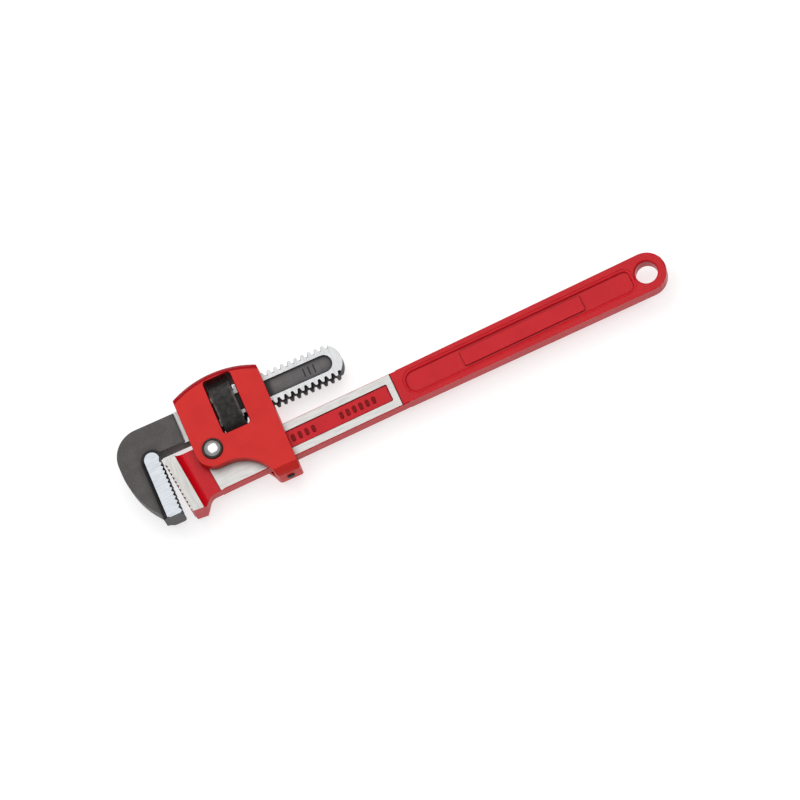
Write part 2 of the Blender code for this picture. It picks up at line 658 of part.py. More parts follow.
def make_frame(material):
    """Housing with two side plates, nut window, cross web and saddle lug."""
    shape = extruded(frame_outline(), -FRAME_HALF, FRAME_HALF)
    top_ends = FRAME_CREST_Y - FRAME_TOP_RADIUS
    top_ends += math.sqrt(FRAME_TOP_RADIUS ** 2 - (FRAME_REAR - FRAME_CREST_X) ** 2) - 0.6
    rim = []
    for edge in shape.edges:
        flat = abs(edge.verts[0].co.z - edge.verts[1].co.z) < 0.01
        if flat and min(v.co.y for v in edge.verts) > top_ends:
            rim.append(edge)
    bevel_edges(shape, rim, FRAME_TOP_BEVEL, 2)
    frame = finish(shape, "frame", 35.0)
    frame.data.materials.append(material)
    past = 6.0
    shank_slot = [
        (FRAME_FRONT - past, SHANK_Y - THREAD_RADIUS - SHANK_GUIDE_GAP),
        (FRAME_REAR + past, SHANK_Y - THREAD_RADIUS - SHANK_GUIDE_GAP),
        (FRAME_REAR + past, SHANK_Y + THREAD_RADIUS + SHANK_GUIDE_GAP),
        (FRAME_FRONT - past, SHANK_Y + THREAD_RADIUS + SHANK_GUIDE_GAP),
    ]
    half = SHANK_HALF + SHANK_SIDE_GAP
    boolean(frame, prism("shank_slot", shank_slot, -half, half))
    floor = LUG_BOTTOM + LUG_FLOOR
    web_low = BAR_HALF_HEIGHT + SEAT_GAP
    slot = [
        Vector((FRAME_FRONT - past, floor)),
        Vector((FRAME_REAR + past, floor)),
        along_handle(FRAME_REAR + past, web_low),
        along_handle(WEB_FRONT, web_low),
        Vector((WEB_FRONT, SHANK_Y - THREAD_RADIUS + 2.0)),
        Vector((FRAME_FRONT - past, SHANK_Y - THREAD_RADIUS + 2.0)),
    ]
    half = BAR_HALF + SIDE_GAP
    boolean(frame, prism("handle_slot", slot, -half, half))
    window_front = NUT_FRONT - WINDOW_FRONT_GAP
    window_rear = NUT_FRONT + NUT_LENGTH + WINDOW_REAR_GAP
    window_half = NUT_RADIUS + WINDOW_RIM_GAP
    corners = [
        (window_front, SHANK_Y - window_half, WINDOW_ROUND),
        (window_rear, SHANK_Y - window_half, WINDOW_ROUND),
        (window_rear, SHANK_Y + window_half, WINDOW_ROUND),
        (window_front, SHANK_Y + window_half, WINDOW_ROUND),
    ]
    boolean(frame, prism("nut_window", rounded(corners, 22.5), -FRAME_HALF - past, FRAME_HALF + past))
    for side in (1.0, -1.0):
        shape = bmesh.new()
        reach = 2.0
        triangle = [
            (LUG_BOTTOM + LUG_CHAMFER_Y, FRAME_HALF),
            (LUG_BOTTOM, FRAME_HALF - LUG_CHAMFER_Z),
            (LUG_BOTTOM - reach, FRAME_HALF - LUG_CHAMFER_Z),
            (LUG_BOTTOM - reach, FRAME_HALF + reach),
            (LUG_BOTTOM + LUG_CHAMFER_Y, FRAME_HALF + reach),
        ]
        ends = []
        for x in (LUG_FRONT - past, FRAME_REAR + past):
            ends.append([shape.verts.new((x, y, side * z)) for y, z in triangle])
        shape.faces.new(ends[0])
        shape.faces.new(ends[1][::-1])
        for k in range(len(triangle)):
            m = (k + 1) % len(triangle)
            shape.faces.new((ends[0][k], ends[0][m], ends[1][m], ends[1][k]))
        boolean(frame, finish(shape, "lug_chamfer_%d" % side))
    radius = RIVET_RADIUS + SEAT_GAP
    boolean(frame, turned("rivet_hole", [(0.0, -20.0), (radius, -20.0), (radius, 20.0), (0.0, 20.0)], 32))
    radius = SMALL_RIVET_RADIUS + SEAT_GAP
    line = [(0.0, -8.0), (radius, -8.0), (radius, 8.0), (0.0, 8.0)]
    low_hole = turned("spring_rivet_hole", line, 16)
    low_hole.rotation_euler = (math.radians(90.0), 0.0, 0.0)
    low_hole.location = (SPRING_RIVET_X * MM, (LUG_BOTTOM + 0.5 * LUG_FLOOR) * MM, 0.0)
    boolean(frame, low_hole)
    ceiling = SHANK_Y + THREAD_RADIUS + SHANK_GUIDE_GAP
    pocket_end = JAW_SPRING_HALF_LENGTH + JAW_POCKET_END_GAP
    width = SPRING_HALF_WIDTH + 0.6
    pocket = [
        (JAW_SPRING_X - pocket_end, ceiling - 2.0),
        (JAW_SPRING_X + pocket_end, ceiling - 2.0),
        (JAW_SPRING_X + pocket_end, ceiling + JAW_SPRING_POCKET),
        (JAW_SPRING_X - pocket_end, ceiling + JAW_SPRING_POCKET),
    ]
    boolean(frame, prism("jaw_spring_pocket", pocket, -width, width))
    high_hole = turned("jaw_rivet_hole", line, 16)
    high_hole.rotation_euler = (math.radians(90.0), 0.0, 0.0)
    high_hole.location = (JAW_SPRING_X * MM, (ceiling + JAW_SPRING_POCKET + 5.0) * MM, 0.0)
    boolean(frame, high_hole)
    spot = SMALL_HEAD_RADIUS + SPOT_FACE_GAP
    spot_face = turned("jaw_rivet_spot_face", [(0.0, -6.0), (spot, -6.0), (spot, 0.0), (0.0, 0.0)], 24)
    spot_face.rotation_euler = (math.radians(90.0), 0.0, 0.0)
    spot_face.location = (JAW_SPRING_X * MM, spot_face_height() * MM, 0.0)
    boolean(frame, spot_face)
    return frame


def make_nut(material):
    """Knurled ring with an internal thread and countersunk ends, axis along X."""
    half = 0.5 * NUT_LENGTH
    profile = [
        (0.0, -half),
        (NUT_RADIUS - NUT_CHAMFER, -half),
        (NUT_RADIUS, -half + NUT_CHAMFER),
        (NUT_RADIUS, half - NUT_CHAMFER),
        (NUT_RADIUS - NUT_CHAMFER, half),
        (0.0, half),
    ]
    nut = turned("adjusting_nut", profile, 72)
    turn_to_x = Matrix.Rotation(math.radians(90.0), 4, "Y")
    nut.data.transform(turn_to_x)
    nut.data.materials.append(material)
    wide = THREAD_RADIUS + THREAD_GAP + 0.25
    narrow = wide - 2.0 * (NUT_COUNTERSINK + 2.0)
    for side in (1.0, -1.0):
        line = [
            (0.0, half - NUT_COUNTERSINK - 2.0),
            (narrow, half - NUT_COUNTERSINK - 2.0),
            (wide, half + 0.01),
            (wide + 1.0, half + 2.0),
            (0.0, half + 2.0),
        ]
        sink = turned("nut_countersink_%d" % side, line, 48)
        sink.data.transform(turn_to_x)
        sink.data.transform(Matrix.Rotation(math.radians(6.1), 4, "X"))
        if side < 0.0:
            sink.data.transform(Matrix.Rotation(math.radians(180.0), 4, "Z"))
        boolean(nut, sink)
    middle = NUT_FRONT + half
    screw = thread_solid("nut_thread_guide", middle - half - 4.0, middle + half + 4.0, THREAD_GAP)
    screw.location = (-middle * MM, 0.0, 0.0)
    boolean(nut, screw)
    return nut


def dome(radius, height, base, steps=6):
    """Profile points of a domed head that starts at its rim and ends on the axis."""
    sphere = (radius ** 2 + height ** 2) / (2.0 * height)
    limit = math.asin(radius / sphere)
    points = []
    for s in range(steps):
        angle = limit * (1.0 - s / steps)
        points.append((sphere * math.sin(angle), base + height - sphere * (1.0 - math.cos(angle))))
    points.append((0.0, base + height))
    return points


def make_pivot_rivet(material):
    """Rivet through both side plates and the handle, domed on both sides."""
    seat = FRAME_HALF + SEAT_GAP
    rim = 0.5
    upper = [(RIVET_RADIUS, seat), (RIVET_HEAD_RADIUS, seat)]
    upper += dome(RIVET_HEAD_RADIUS, RIVET_HEAD_HEIGHT - rim, seat + rim)
    lower = [(radius, -z) for radius, z in upper[::-1]]
    rivet = turned("pivot_rivet", lower + upper, 40)
    rivet.data.materials.append(material)
    return rivet


def leaf_spring(name, half_length, thickness, rise, hole, material):
    """A bowed leaf along X, flat at its riveted middle, with ends that rise by a given height."""
    outer = []
    inner = []
    flat = SMALL_HEAD_RADIUS + 0.4
    steps = 8
    for s in range(-steps, steps + 1):
        x = half_length * s / steps
        free = max(0.0, abs(x) - flat) / (half_length - flat)
        y = rise * free ** 1.5
        outer.append(Vector((x, y)))
        inner.append(Vector((x, y + thickness)))
    spring = prism(name, outer + inner[::-1], -SPRING_HALF_WIDTH, SPRING_HALF_WIDTH, 35.0)
    spring.data.materials.append(material)
    line = [(0.0, -4.0), (hole, -4.0), (hole, 4.0), (0.0, 4.0)]
    cutter = turned(name + "_hole", line, 16)
    cutter.rotation_euler = (math.radians(90.0), 0.0, 0.0)
    boolean(spring, cutter)
    return spring


def small_rivet(name, grip, outer_head, inner_head, material):
    """A rivet along Z, with a domed outer head below z = 0 and a flat inner head above the grip."""
    low = -SEAT_GAP
    profile = [(radius, -z) for radius, z in dome(SMALL_HEAD_RADIUS, outer_head, SEAT_GAP, 4)[::-1]]
    profile += [
        (SMALL_RIVET_RADIUS, low),
        (SMALL_RIVET_RADIUS, grip + SEAT_GAP),
        (SMALL_HEAD_RADIUS - 0.5, grip + SEAT_GAP),
        (SMALL_HEAD_RADIUS - 0.5, grip + SEAT_GAP + 0.5 * inner_head),
        (SMALL_HEAD_RADIUS - 1.0, grip + SEAT_GAP + inner_head),
        (0.0, grip + SEAT_GAP + inner_head),
    ]
    rivet = turned(name, profile, 24)
    rivet.data.materials.append(material)
    return rivet


def place(child, parent, x, y, z):
    """Parents a piece and sets where it sits."""
    child.parent = parent
    child.location = (x * MM, y * MM, z * MM)


def middle_of_base():
    """Middle of the whole wrench in X and Y, and its lowest Z."""
    bpy.context.view_layer.update()
    graph = bpy.context.evaluated_depsgraph_get()
    corners = []
    for piece in bpy.context.scene.objects:
        if piece.type == "MESH" and not piece.hide_render:
            shown = piece.evaluated_get(graph)
            corners += [shown.matrix_world @ v.co for v in shown.data.vertices]
    low = [min(c[k] for c in corners) for k in range(3)]
    high = [max(c[k] for c in corners) for k in range(3)]
    return Vector((0.5 * (low[0] + high[0]), 0.5 * (low[1] + high[1]), low[2]))


def main():
    """Builds every piece and puts the wrench together."""
    clear_scene()
    red = paint("red_enamel", (0.58, 0.025, 0.02), 0.0, 0.35)
    black = paint("black_forging", (0.065, 0.06, 0.06), 0.3, 0.5)
    dark = paint("blackened_steel", (0.02, 0.02, 0.022), 0.6, 0.45)
    bright = paint("polished_steel", (0.75, 0.75, 0.76), 1.0, 0.18)
    blue = paint("spring_steel", (0.18, 0.2, 0.24), 1.0, 0.35)

    root = bpy.data.objects.new("wrench", None)
    bpy.context.scene.collection.objects.link(root)
    tilted = bpy.data.objects.new("frame_axis", None)
    bpy.context.scene.collection.objects.link(tilted)
    tilted.parent = root
    tilted.rotation_euler = (0.0, 0.0, math.radians(FRAME_TILT))

    place(make_handle(red), root, 0.0, -PIVOT_ABOVE_AXIS, 0.0)
    place(make_frame(red), tilted, 0.0, 0.0, 0.0)
    place(make_hook_jaw(black), tilted, 0.0, SHANK_Y, 0.0)
    place(make_nut(dark), tilted, NUT_FRONT + 0.5 * NUT_LENGTH, SHANK_Y, 0.0)
    place(make_pivot_rivet(bright), tilted, 0.0, 0.0, 0.0)

    floor = LUG_BOTTOM + LUG_FLOOR
    under_handle = along_handle(SPRING_RIVET_X, -BAR_HALF_HEIGHT).y
    rise = under_handle - floor - 2.0 * SEAT_GAP - SPRING_THICKNESS - 0.15
    hole = SMALL_RIVET_RADIUS + SEAT_GAP
    saddle_leaf = leaf_spring("frame_spring", SPRING_HALF_LENGTH, SPRING_THICKNESS, rise, hole, blue)
    place(saddle_leaf, tilted, SPRING_RIVET_X, floor + SEAT_GAP, 0.0)
    low_rivet = small_rivet(
        "frame_spring_rivet",
        LUG_FLOOR + SEAT_GAP + SPRING_THICKNESS,
        SMALL_HEAD_HEIGHT,
        SPRING_HEAD_HEIGHT,
        dark,
    )
    place(low_rivet, tilted, SPRING_RIVET_X, LUG_BOTTOM, 0.0)
    low_rivet.rotation_euler = (math.radians(-90.0), 0.0, 0.0)

    ceiling = SHANK_Y + THREAD_RADIUS + SHANK_GUIDE_GAP
    wall_low = ceiling + JAW_SPRING_POCKET
    rise = JAW_SPRING_POCKET + SHANK_GUIDE_GAP - 2.0 * SEAT_GAP - JAW_SPRING_THICKNESS
    jaw_leaf = leaf_spring(
        "jaw_spring", JAW_SPRING_HALF_LENGTH, JAW_SPRING_THICKNESS, rise, hole, blue
    )
    place(jaw_leaf, tilted, JAW_SPRING_X, wall_low - SEAT_GAP, 0.0)
    jaw_leaf.rotation_euler = (math.radians(180.0), 0.0, 0.0)
    wall_high = spot_face_height()
    grip = wall_high - wall_low + SEAT_GAP + JAW_SPRING_THICKNESS
    high_rivet = small_rivet("jaw_spring_rivet", grip, 0.9, 0.5, dark)
    place(high_rivet, tilted, JAW_SPRING_X, wall_high, 0.0)
    high_rivet.rotation_euler = (math.radians(90.0), 0.0, 0.0)

    root.location = -middle_of_base()
    bpy.context.view_layer.update()


main()
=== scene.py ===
"""Adjustable pipe wrench, lying on its side with the jaws nearly closed.

Each section draws one piece in millimetres about its own axes and then
seats it, in metres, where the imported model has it.
"""
import math

import bmesh
import bpy
from mathutils import Matrix, Vector


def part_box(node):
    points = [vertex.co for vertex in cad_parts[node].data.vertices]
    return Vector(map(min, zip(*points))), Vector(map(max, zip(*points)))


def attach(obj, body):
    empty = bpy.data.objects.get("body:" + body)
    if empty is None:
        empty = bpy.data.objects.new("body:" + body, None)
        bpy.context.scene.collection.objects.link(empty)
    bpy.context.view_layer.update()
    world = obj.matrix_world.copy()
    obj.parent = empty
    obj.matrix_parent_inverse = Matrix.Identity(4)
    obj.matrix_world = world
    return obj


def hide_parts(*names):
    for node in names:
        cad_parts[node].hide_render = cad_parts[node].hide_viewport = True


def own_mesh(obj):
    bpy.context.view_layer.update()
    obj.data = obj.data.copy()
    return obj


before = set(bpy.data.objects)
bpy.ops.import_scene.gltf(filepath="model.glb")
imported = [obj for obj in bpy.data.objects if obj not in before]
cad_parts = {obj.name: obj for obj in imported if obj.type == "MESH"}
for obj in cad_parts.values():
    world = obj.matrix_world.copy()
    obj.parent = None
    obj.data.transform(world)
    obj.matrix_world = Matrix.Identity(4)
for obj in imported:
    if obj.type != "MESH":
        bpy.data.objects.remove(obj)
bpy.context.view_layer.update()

# ---- Floor, lights and camera ----
# A plain pale floor under one wide soft box, with an even pale studio round
# it.  The camera looks down steeply on the wrench from its jaw side.
FLOOR_SIZE = 8.0
FLOOR_GREY = 0.45
FLOOR_GLOW = 0.66       # keeps the floor white at the edge of the light
STUDIO_LIGHT = 0.30
BACKDROP = 0.92         # what the camera sees past the floor
SOFT_BOX_SIZE = 1.5
SOFT_BOX_DISTANCE = 1.4
SOFT_BOX_WATTS = 19.0
SOFT_BOX_SIDE = Vector((-0.03, 0.22, 0.97)).normalized()
TOWARDS_CAMERA = Vector((0.0, -0.309, 0.951)).normalized()
CAMERA_ROLL = math.radians(25.13)
CAMERA_TARGET = Vector((-0.0047, -0.0275, 0.0185))
CAMERA_DISTANCE = 4.0
CAMERA_FIELD = 0.552    # metres across the picture at the target
SENSOR_WIDTH = 36.0

bpy.ops.object.select_all(action="DESELECT")
bpy.ops.mesh.primitive_plane_add(size=FLOOR_SIZE, location=(0.0, 0.0, 0.0))
floor = bpy.context.object
floor.name = "floor"
paper = bpy.data.materials.new("floor_paper")
paper.use_nodes = True
for socket, value in (
    ("Base Color", (FLOOR_GREY, FLOOR_GREY, FLOOR_GREY, 1.0)),
    ("Roughness", 0.9),
    ("Specular IOR Level", 0.1),
    ("Emission Color", (1.0, 1.0, 1.0, 1.0)),
    ("Emission Strength", FLOOR_GLOW),
):
    paper.node_tree.nodes["Principled BSDF"].inputs[socket].default_value = value
floor.data.materials.append(paper)

studio = bpy.data.worlds.new("studio")
studio.use_nodes = True
nodes, links = studio.node_tree.nodes, studio.node_tree.links
studio_light = nodes["Background"]
studio_light.inputs["Color"].default_value = (1.0, 1.0, 1.0, 1.0)
studio_light.inputs["Strength"].default_value = STUDIO_LIGHT
backdrop = nodes.new("ShaderNodeBackground")
backdrop.inputs["Color"].default_value = (BACKDROP, BACKDROP, BACKDROP, 1.0)
seen = nodes.new("ShaderNodeLightPath")
either = nodes.new("ShaderNodeMixShader")
links.new(seen.outputs["Is Camera Ray"], either.inputs[0])
links.new(studio_light.outputs[0], either.inputs[1])
links.new(backdrop.outputs[0], either.inputs[2])
links.new(either.outputs[0], nodes["World Output"].inputs[0])
bpy.context.scene.world = studio
bpy.context.scene.view_settings.view_transform = "Standard"

bpy.ops.object.light_add(type="AREA", location=SOFT_BOX_SIDE * SOFT_BOX_DISTANCE)
soft_box = bpy.context.object
soft_box.rotation_euler = SOFT_BOX_SIDE.to_track_quat("Z", "Y").to_euler()
soft_box.name = "soft_box"
soft_box.data.shape = "SQUARE"
soft_box.data.size = SOFT_BOX_SIZE
soft_box.data.energy = SOFT_BOX_WATTS

level_right = (Vector((1.0, 0.0, 0.0)) - TOWARDS_CAMERA * TOWARDS_CAMERA.x).normalized()
level_up = TOWARDS_CAMERA.cross(level_right)
right = math.cos(CAMERA_ROLL) * level_right - math.sin(CAMERA_ROLL) * level_up
up = math.sin(CAMERA_ROLL) * level_right + math.cos(CAMERA_ROLL) * level_up
bpy.ops.object.camera_add()
camera = bpy.context.object
camera.name = "camera"
camera.matrix_world = Matrix.Translation(CAMERA_TARGET + TOWARDS_CAMERA * CAMERA_DISTANCE) @ Matrix(
    (right, up, TOWARDS_CAMERA)
).transposed().to_4x4()
camera.data.sensor_width = SENSOR_WIDTH
camera.data.lens = SENSOR_WIDTH * CAMERA_DISTANCE / CAMERA_FIELD
bpy.context.scene.camera = camera
bpy.ops.object.select_all(action="DESELECT")

# ---- Handle with the heel jaw ----
# One drop forging of tool steel, enamelled red all over.  The tooth pad and
# the long side panels are then ground bright, and the heel's teeth are cut.
MM = 0.001
PIVOT_ABOVE_AXIS = 14.7
BAR_HALF_HEIGHT = 12.5
BAR_HALF = 6.2
SKIN_HALF = 6.35        # forged skin, a little proud of the ground panels
GRIP_ROUND = 2.1
EDGE_ROUND = 1.1
EDGE_FADE = 8.0
TAIL_RADIUS = 14.1
EYE_X = 322.2
EYE_RADIUS = 7.85
EYE_LIP = 1.6
PANEL_START = -9.0
PANEL_END = 132.0
GROOVE = (44.0, 127.0, 6.2)
GROOVE_SINK = 0.8
POCKET = (138.7, 312.0, 8.9)
POCKET_SINK = 1.9
GRIP_PAD = (182.0, 273.5, 5.8)
GRIP_PAD_BELOW = 0.9
HEEL_LEAN = 5.3
HEEL_X = -34.9
HEEL_TOP = 22.6
HEEL_BOTTOM = -19.4
HEEL_HALF = 11.0
HEEL_PAD = 9.0
HEEL_SLOPE = 6.0
HEAD_HALF = 5.2
HEAD_TOP = 24.0
TOOTH_PITCH = 3.3
TOOTH_DEPTH = 1.2
HEEL_TEETH = 12
GRINDING_STOCK = 0.4    # left on a face that is to be ground
WHEEL_DEPTH = 5.0
PIVOT_HOLE = 4.95
GRIP_LEAD = 0.7         # past the panel's end, where the grip's rounding starts
GRIP_FULL = 4.2
SLOPE_START = 28.5      # the back of the head, from the bar up to its crown
SLOPE = ((24.5, 14.1), (11.4, 21.4), (8.0, 24.0))
PLANE_OUT = 3.0         # how far a rounding tool stands out of the bar
PLANE_SETBACK = 0.02
BROKEN_EDGE = 0.22


def put_down():
    """Leaves edit mode, with nothing selected."""
    if bpy.context.object is not None and bpy.context.object.mode != "OBJECT":
        bpy.ops.object.mode_set(mode="OBJECT")
    bpy.ops.object.select_all(action="DESELECT")


def push(x, y, z):
    """Extrudes what is selected."""
    bpy.ops.mesh.extrude_region_move(TRANSFORM_OT_translate={"value": (x, y, z)})


def face_outwards():
    """Turns every face of a closed drawing outwards."""
    bpy.ops.mesh.select_all(action="SELECT")
    bpy.ops.mesh.normals_make_consistent(inside=False)


def pen(name, points, low=0.0, closed=True):
    """Draws an outline point by point, and fills it when it is closed."""
    put_down()
    bpy.ops.mesh.primitive_plane_add(size=1.0)
    piece = bpy.context.object
    piece.name = name
    bpy.ops.object.mode_set(mode="EDIT")
    bpy.ops.mesh.select_mode(type="VERT")
    bpy.ops.mesh.select_all(action="SELECT")
    bpy.ops.mesh.merge(type="CENTER")
    x, y = points[0]
    bpy.ops.transform.translate(value=(x, y, low))
    for there_x, there_y in points[1:]:
        push(there_x - x, there_y - y, 0.0)
        x, y = there_x, there_y
    if closed:
        bpy.ops.mesh.select_all(action="SELECT")
        bpy.ops.mesh.edge_face_add()
    return piece


def pick(kind, wanted):
    """Selects the faces or edges, in edit mode, that a test on their place wants."""
    bpy.ops.mesh.select_mode(type=kind)
    bpy.ops.mesh.select_all(action="DESELECT")
    drawn = bmesh.from_edit_mesh(bpy.context.object.data)
    if kind == "FACE":
        for face in drawn.faces:
            if wanted(face.calc_center_median(), face.normal):
                face.select_set(True)
    else:
        for edge in drawn.edges:
            if wanted(edge.verts[0].co, edge.verts[1].co):
                edge.select_set(True)
    bmesh.update_edit_mesh(bpy.context.object.data)


def step_down(steps):
    """Insets the selected cap again and again, each (inwards, onwards)."""
    for inwards, onwards in steps:
        bpy.ops.mesh.inset(thickness=inwards, depth=onwards, use_even_offset=True)


def quarter(across, along, count, hollow):
    """Inset steps that follow a quarter round, hollow or full."""
    steps = []
    for s in range(count):
        a = 0.5 * math.pi * s / count
        b = 0.5 * math.pi * (s + 1) / count
        sine, cosine = math.sin(b) - math.sin(a), math.cos(a) - math.cos(b)
        steps.append((across * cosine, along * sine) if hollow else (across * sine, along * cosine))
    return steps


def rectangle(left, right, bottom, top):
    """Corners of a rectangle."""
    return [(left, bottom), (right, bottom), (right, top), (left, top)]


def rounded(corners, degrees=7.0):
    """A closed outline from (x, y, radius) corners."""
    points = []
    count = len(corners)
    for k in range(count):
        before = Vector(corners[k - 1][:2])
        here = Vector(corners[k][:2])
        after = Vector(corners[(k + 1) % count][:2])
        radius = corners[k][2]
        if radius <= 0.0:
            points.append(here)
            continue
        back = (before - here).normalized()
        onward = (after - here).normalized()
        half = 0.5 * back.angle(onward)
        centre = here + (back + onward).normalized() * (radius / math.sin(half))
        first = here + back * (radius / math.tan(half)) - centre
        last = here + onward * (radius / math.tan(half)) - centre
        sweep = first.angle_signed(last)
        steps = max(2, round(abs(math.degrees(sweep)) / degrees))
        for s in range(steps + 1):
            points.append(centre + Matrix.Rotation(-sweep * s / steps, 2) @ first)
    return points


def box_outline(start, end, half, radius):
    """Corners of a slot along X."""
    return [(x, y, radius) for x, y in rectangle(start, end, -half, half)]


def arc(x, y, radius, start, end, steps):
    """Points on an arc, with angles in degrees."""
    turns = [math.radians(start + (end - start) * s / steps) for s in range(steps + 1)]
    return [Vector((x + radius * math.cos(a), y + radius * math.sin(a))) for a in turns]


def wearing(material):
    """Gives the drawn tool or piece its finish, which its cuts leave behind."""
    piece = bpy.context.object
    piece.data.materials.clear()
    piece.data.materials.append(material)
    return piece


def slab(name, points, low, height, material):
    """Draws a filled outline, and gives it its thickness and its finish."""
    pen(name, points, low)
    bpy.ops.mesh.select_all(action="SELECT")
    push(0.0, 0.0, height)
    face_outwards()
    return wearing(material)


def only(piece):
    """Leaves edit mode and selects one piece."""
    put_down()
    piece.select_set(True)
    bpy.context.view_layer.objects.active = piece


def settle(piece, place=(0.0, 0.0, 0.0), turn=(0.0, 0.0, 0.0), size=1.0):
    """Turns and moves a drawing, and applies it to the mesh."""
    only(piece)
    piece.rotation_euler = [math.radians(angle) for angle in turn]
    piece.location = place
    piece.scale = (size, size, size)
    bpy.ops.object.transform_apply()
    return piece


def modify(piece, kind, **settings):
    """Adds a modifier with its settings, and applies it."""
    only(piece)
    bpy.ops.object.modifier_add(type=kind)
    step = piece.modifiers[-1]
    for name, value in settings.items():
        setattr(step, name, value)
    bpy.ops.object.modifier_apply(modifier=step.name)


def work(piece, tool, how="DIFFERENCE"):
    """Cuts or joins a piece with a tool, which passes its finish to the new faces."""
    modify(
        piece, "BOOLEAN", operation=how, solver="EXACT", material_mode="TRANSFER", object=tool
    )
    bpy.data.objects.remove(tool)


def grind(piece, half, area, steel):
    """Grinds both sides of a piece to a half thickness, over (left, right, bottom, top)."""
    for low in (half, -half - WHEEL_DEPTH):
        work(piece, slab("grinding_wheel", rectangle(*area), low, WHEEL_DEPTH, steel))


def break_edges(piece, width, angle=40.0, segments=2):
    """Takes the sharpness off every edge of a piece."""
    only(piece)
    bpy.ops.object.mode_set(mode="EDIT")
    bpy.ops.mesh.select_all(action="SELECT")
    bpy.ops.mesh.remove_doubles(threshold=0.02)
    bpy.ops.mesh.dissolve_limited(angle_limit=math.radians(0.3), delimit={"MATERIAL"})
    modify(
        piece, "BEVEL", width=width, segments=segments, limit_method="ANGLE",
        angle_limit=math.radians(angle), use_clamp_overlap=False,
    )


def smooth(piece, angle=32.0):
    """Smooth shading that keeps flats flat and crisp edges crisp."""
    only(piece)
    bpy.ops.object.shade_smooth_by_angle(angle=math.radians(angle))
    modify(piece, "WEIGHTED_NORMAL", weight=80, keep_sharp=True)


class Wire:
    """A socket that takes sums and products."""

    def __init__(self, finish, link):
        self.finish = finish
        self.link = link

    def maths(self, operation, first, second):
        return self.finish.add("ShaderNodeMath", {"operation": operation}, {0: first, 1: second})

    def __add__(self, other):
        return self.maths("ADD", self, other)

    __radd__ = __add__

    def __sub__(self, other):
        return self.maths("SUBTRACT", self, other)

    def __rsub__(self, other):
        return self.maths("SUBTRACT", other, self)

    def __mul__(self, other):
        return self.maths("MULTIPLY", self, other)

    __rmul__ = __mul__

    def above(self, low, high):
        """0 below low, 1 above high, and smooth between them."""
        return self.finish.add(
            "ShaderNodeMapRange",
            {"interpolation_type": "SMOOTHSTEP"},
            {"Value": self, "From Min": low, "From Max": high, "To Min": 0.0, "To Max": 1.0},
        )


class Finish:
    """A material under construction."""

    def __init__(self, name):
        self.material = bpy.data.materials.new(name)
        self.material.use_nodes = True
        self.tree = self.material.node_tree
        self.shader = self.tree.nodes["Principled BSDF"]

    def feed(self, socket, value):
        """Links or sets a socket."""
        if isinstance(value, Wire):
            self.tree.links.new(value.link, socket)
        else:
            socket.default_value = value

    def add(self, kind, settings=None, sockets=None, out=0):
        """One node: its settings first, then the values or links of its sockets."""
        node = self.tree.nodes.new(kind)
        for key, value in (settings or {}).items():
            setattr(node, key, value)
        for key, value in (sockets or {}).items():
            self.feed(node.inputs[key], value)
        return Wire(self, node.outputs[out])

    def place(self, stretch=(1.0, 1.0, 1.0), turn=(0.0, 0.0, 0.0)):
        """Object coordinates, turned and stretched."""
        where = self.add("ShaderNodeTexCoord", out="Object")
        sockets = {"Vector": where, "Scale": stretch, "Rotation": turn}
        return self.add("ShaderNodeMapping", None, sockets)

    def grain(self, size, detail=2.0, where=None):
        """Noise whose grains are a given size in millimetres."""
        sockets = {"Vector": where or self.place(), "Scale": 1.0 / (size * MM), "Detail": detail}
        return self.add("ShaderNodeTexNoise", None, sockets)

    def mix(self, share, first, second):
        """Two colours mixed by a share."""
        colours = [c if isinstance(c, Wire) else (*c, 1.0) for c in (first, second)]
        sockets = {0: share, 6: colours[0], 7: colours[1]}
        return self.add("ShaderNodeMix", {"data_type": "RGBA"}, sockets, out=2)

    def edges(self, radius):
        """1 on sharp outer and inner edges, 0 on flats."""
        soft = self.add("ShaderNodeBevel", {"samples": 6}, {"Radius": radius * MM})
        plain = self.add("ShaderNodeNewGeometry", out="Normal")
        dot = {"operation": "DOT_PRODUCT"}
        along = self.add("ShaderNodeVectorMath", dot, {0: soft, 1: plain}, out=1)
        return (1.0 - along).above(0.015, 0.16)

    def hollows(self, reach):
        """1 on open faces and less in corners."""
        distance = {"Distance": reach * MM}
        return self.add("ShaderNodeAmbientOcclusion", {"samples": 8}, distance, out="AO")

    def bump(self, height, depth):
        """A normal from a height, where 1 is a depth in millimetres."""
        return self.add("ShaderNodeBump", None, {"Height": height, "Distance": depth * MM})

    def surface(self, **sockets):
        """Sets the shader's own sockets by name."""
        for key, value in sockets.items():
            self.feed(self.shader.inputs[key.replace("_", " ")], value)
        return self.material


def enamel(name, face, deep, pale, roughness, coat):
    """Stoved enamel with faint orange peel, painted shade darkening its corners and hollows, and a
    painted highlight on its edges, where the paint also runs thin.
    """
    finish = Finish(name)
    cloud = finish.grain(14.0, 3.0)
    speck = finish.grain(1.3, 3.0)
    colour = finish.mix(cloud.above(0.35, 0.7) * 0.14, face, deep)
    colour = finish.mix(speck.above(0.45, 0.75) * 0.04, colour, pale)
    # painted shade: corners and hollows darken towards the deep colour, the tightest ones almost to
    # black
    colour = finish.mix(1.0 - finish.hollows(2.4), colour, deep)
    corner = (1.0 - finish.hollows(1.0)).above(0.12, 0.42)
    colour = finish.mix(corner * 0.9, colour, (0.03, 0.0, 0.001))
    # painted highlight: edges turn paler, as if catching light; the paint also runs thin there
    colour = finish.mix(finish.edges(0.4) * 0.2, colour, pale)
    peel = finish.grain(0.9, 2.0) + 0.6 * finish.grain(3.4, 1.0)
    return finish.surface(
        Base_Color=colour,
        Roughness=roughness + 0.12 * cloud,
        Normal=finish.bump(peel, 0.045),
        Specular_IOR_Level=0.08,
        Coat_Weight=coat,
        Coat_Roughness=0.16,
    )


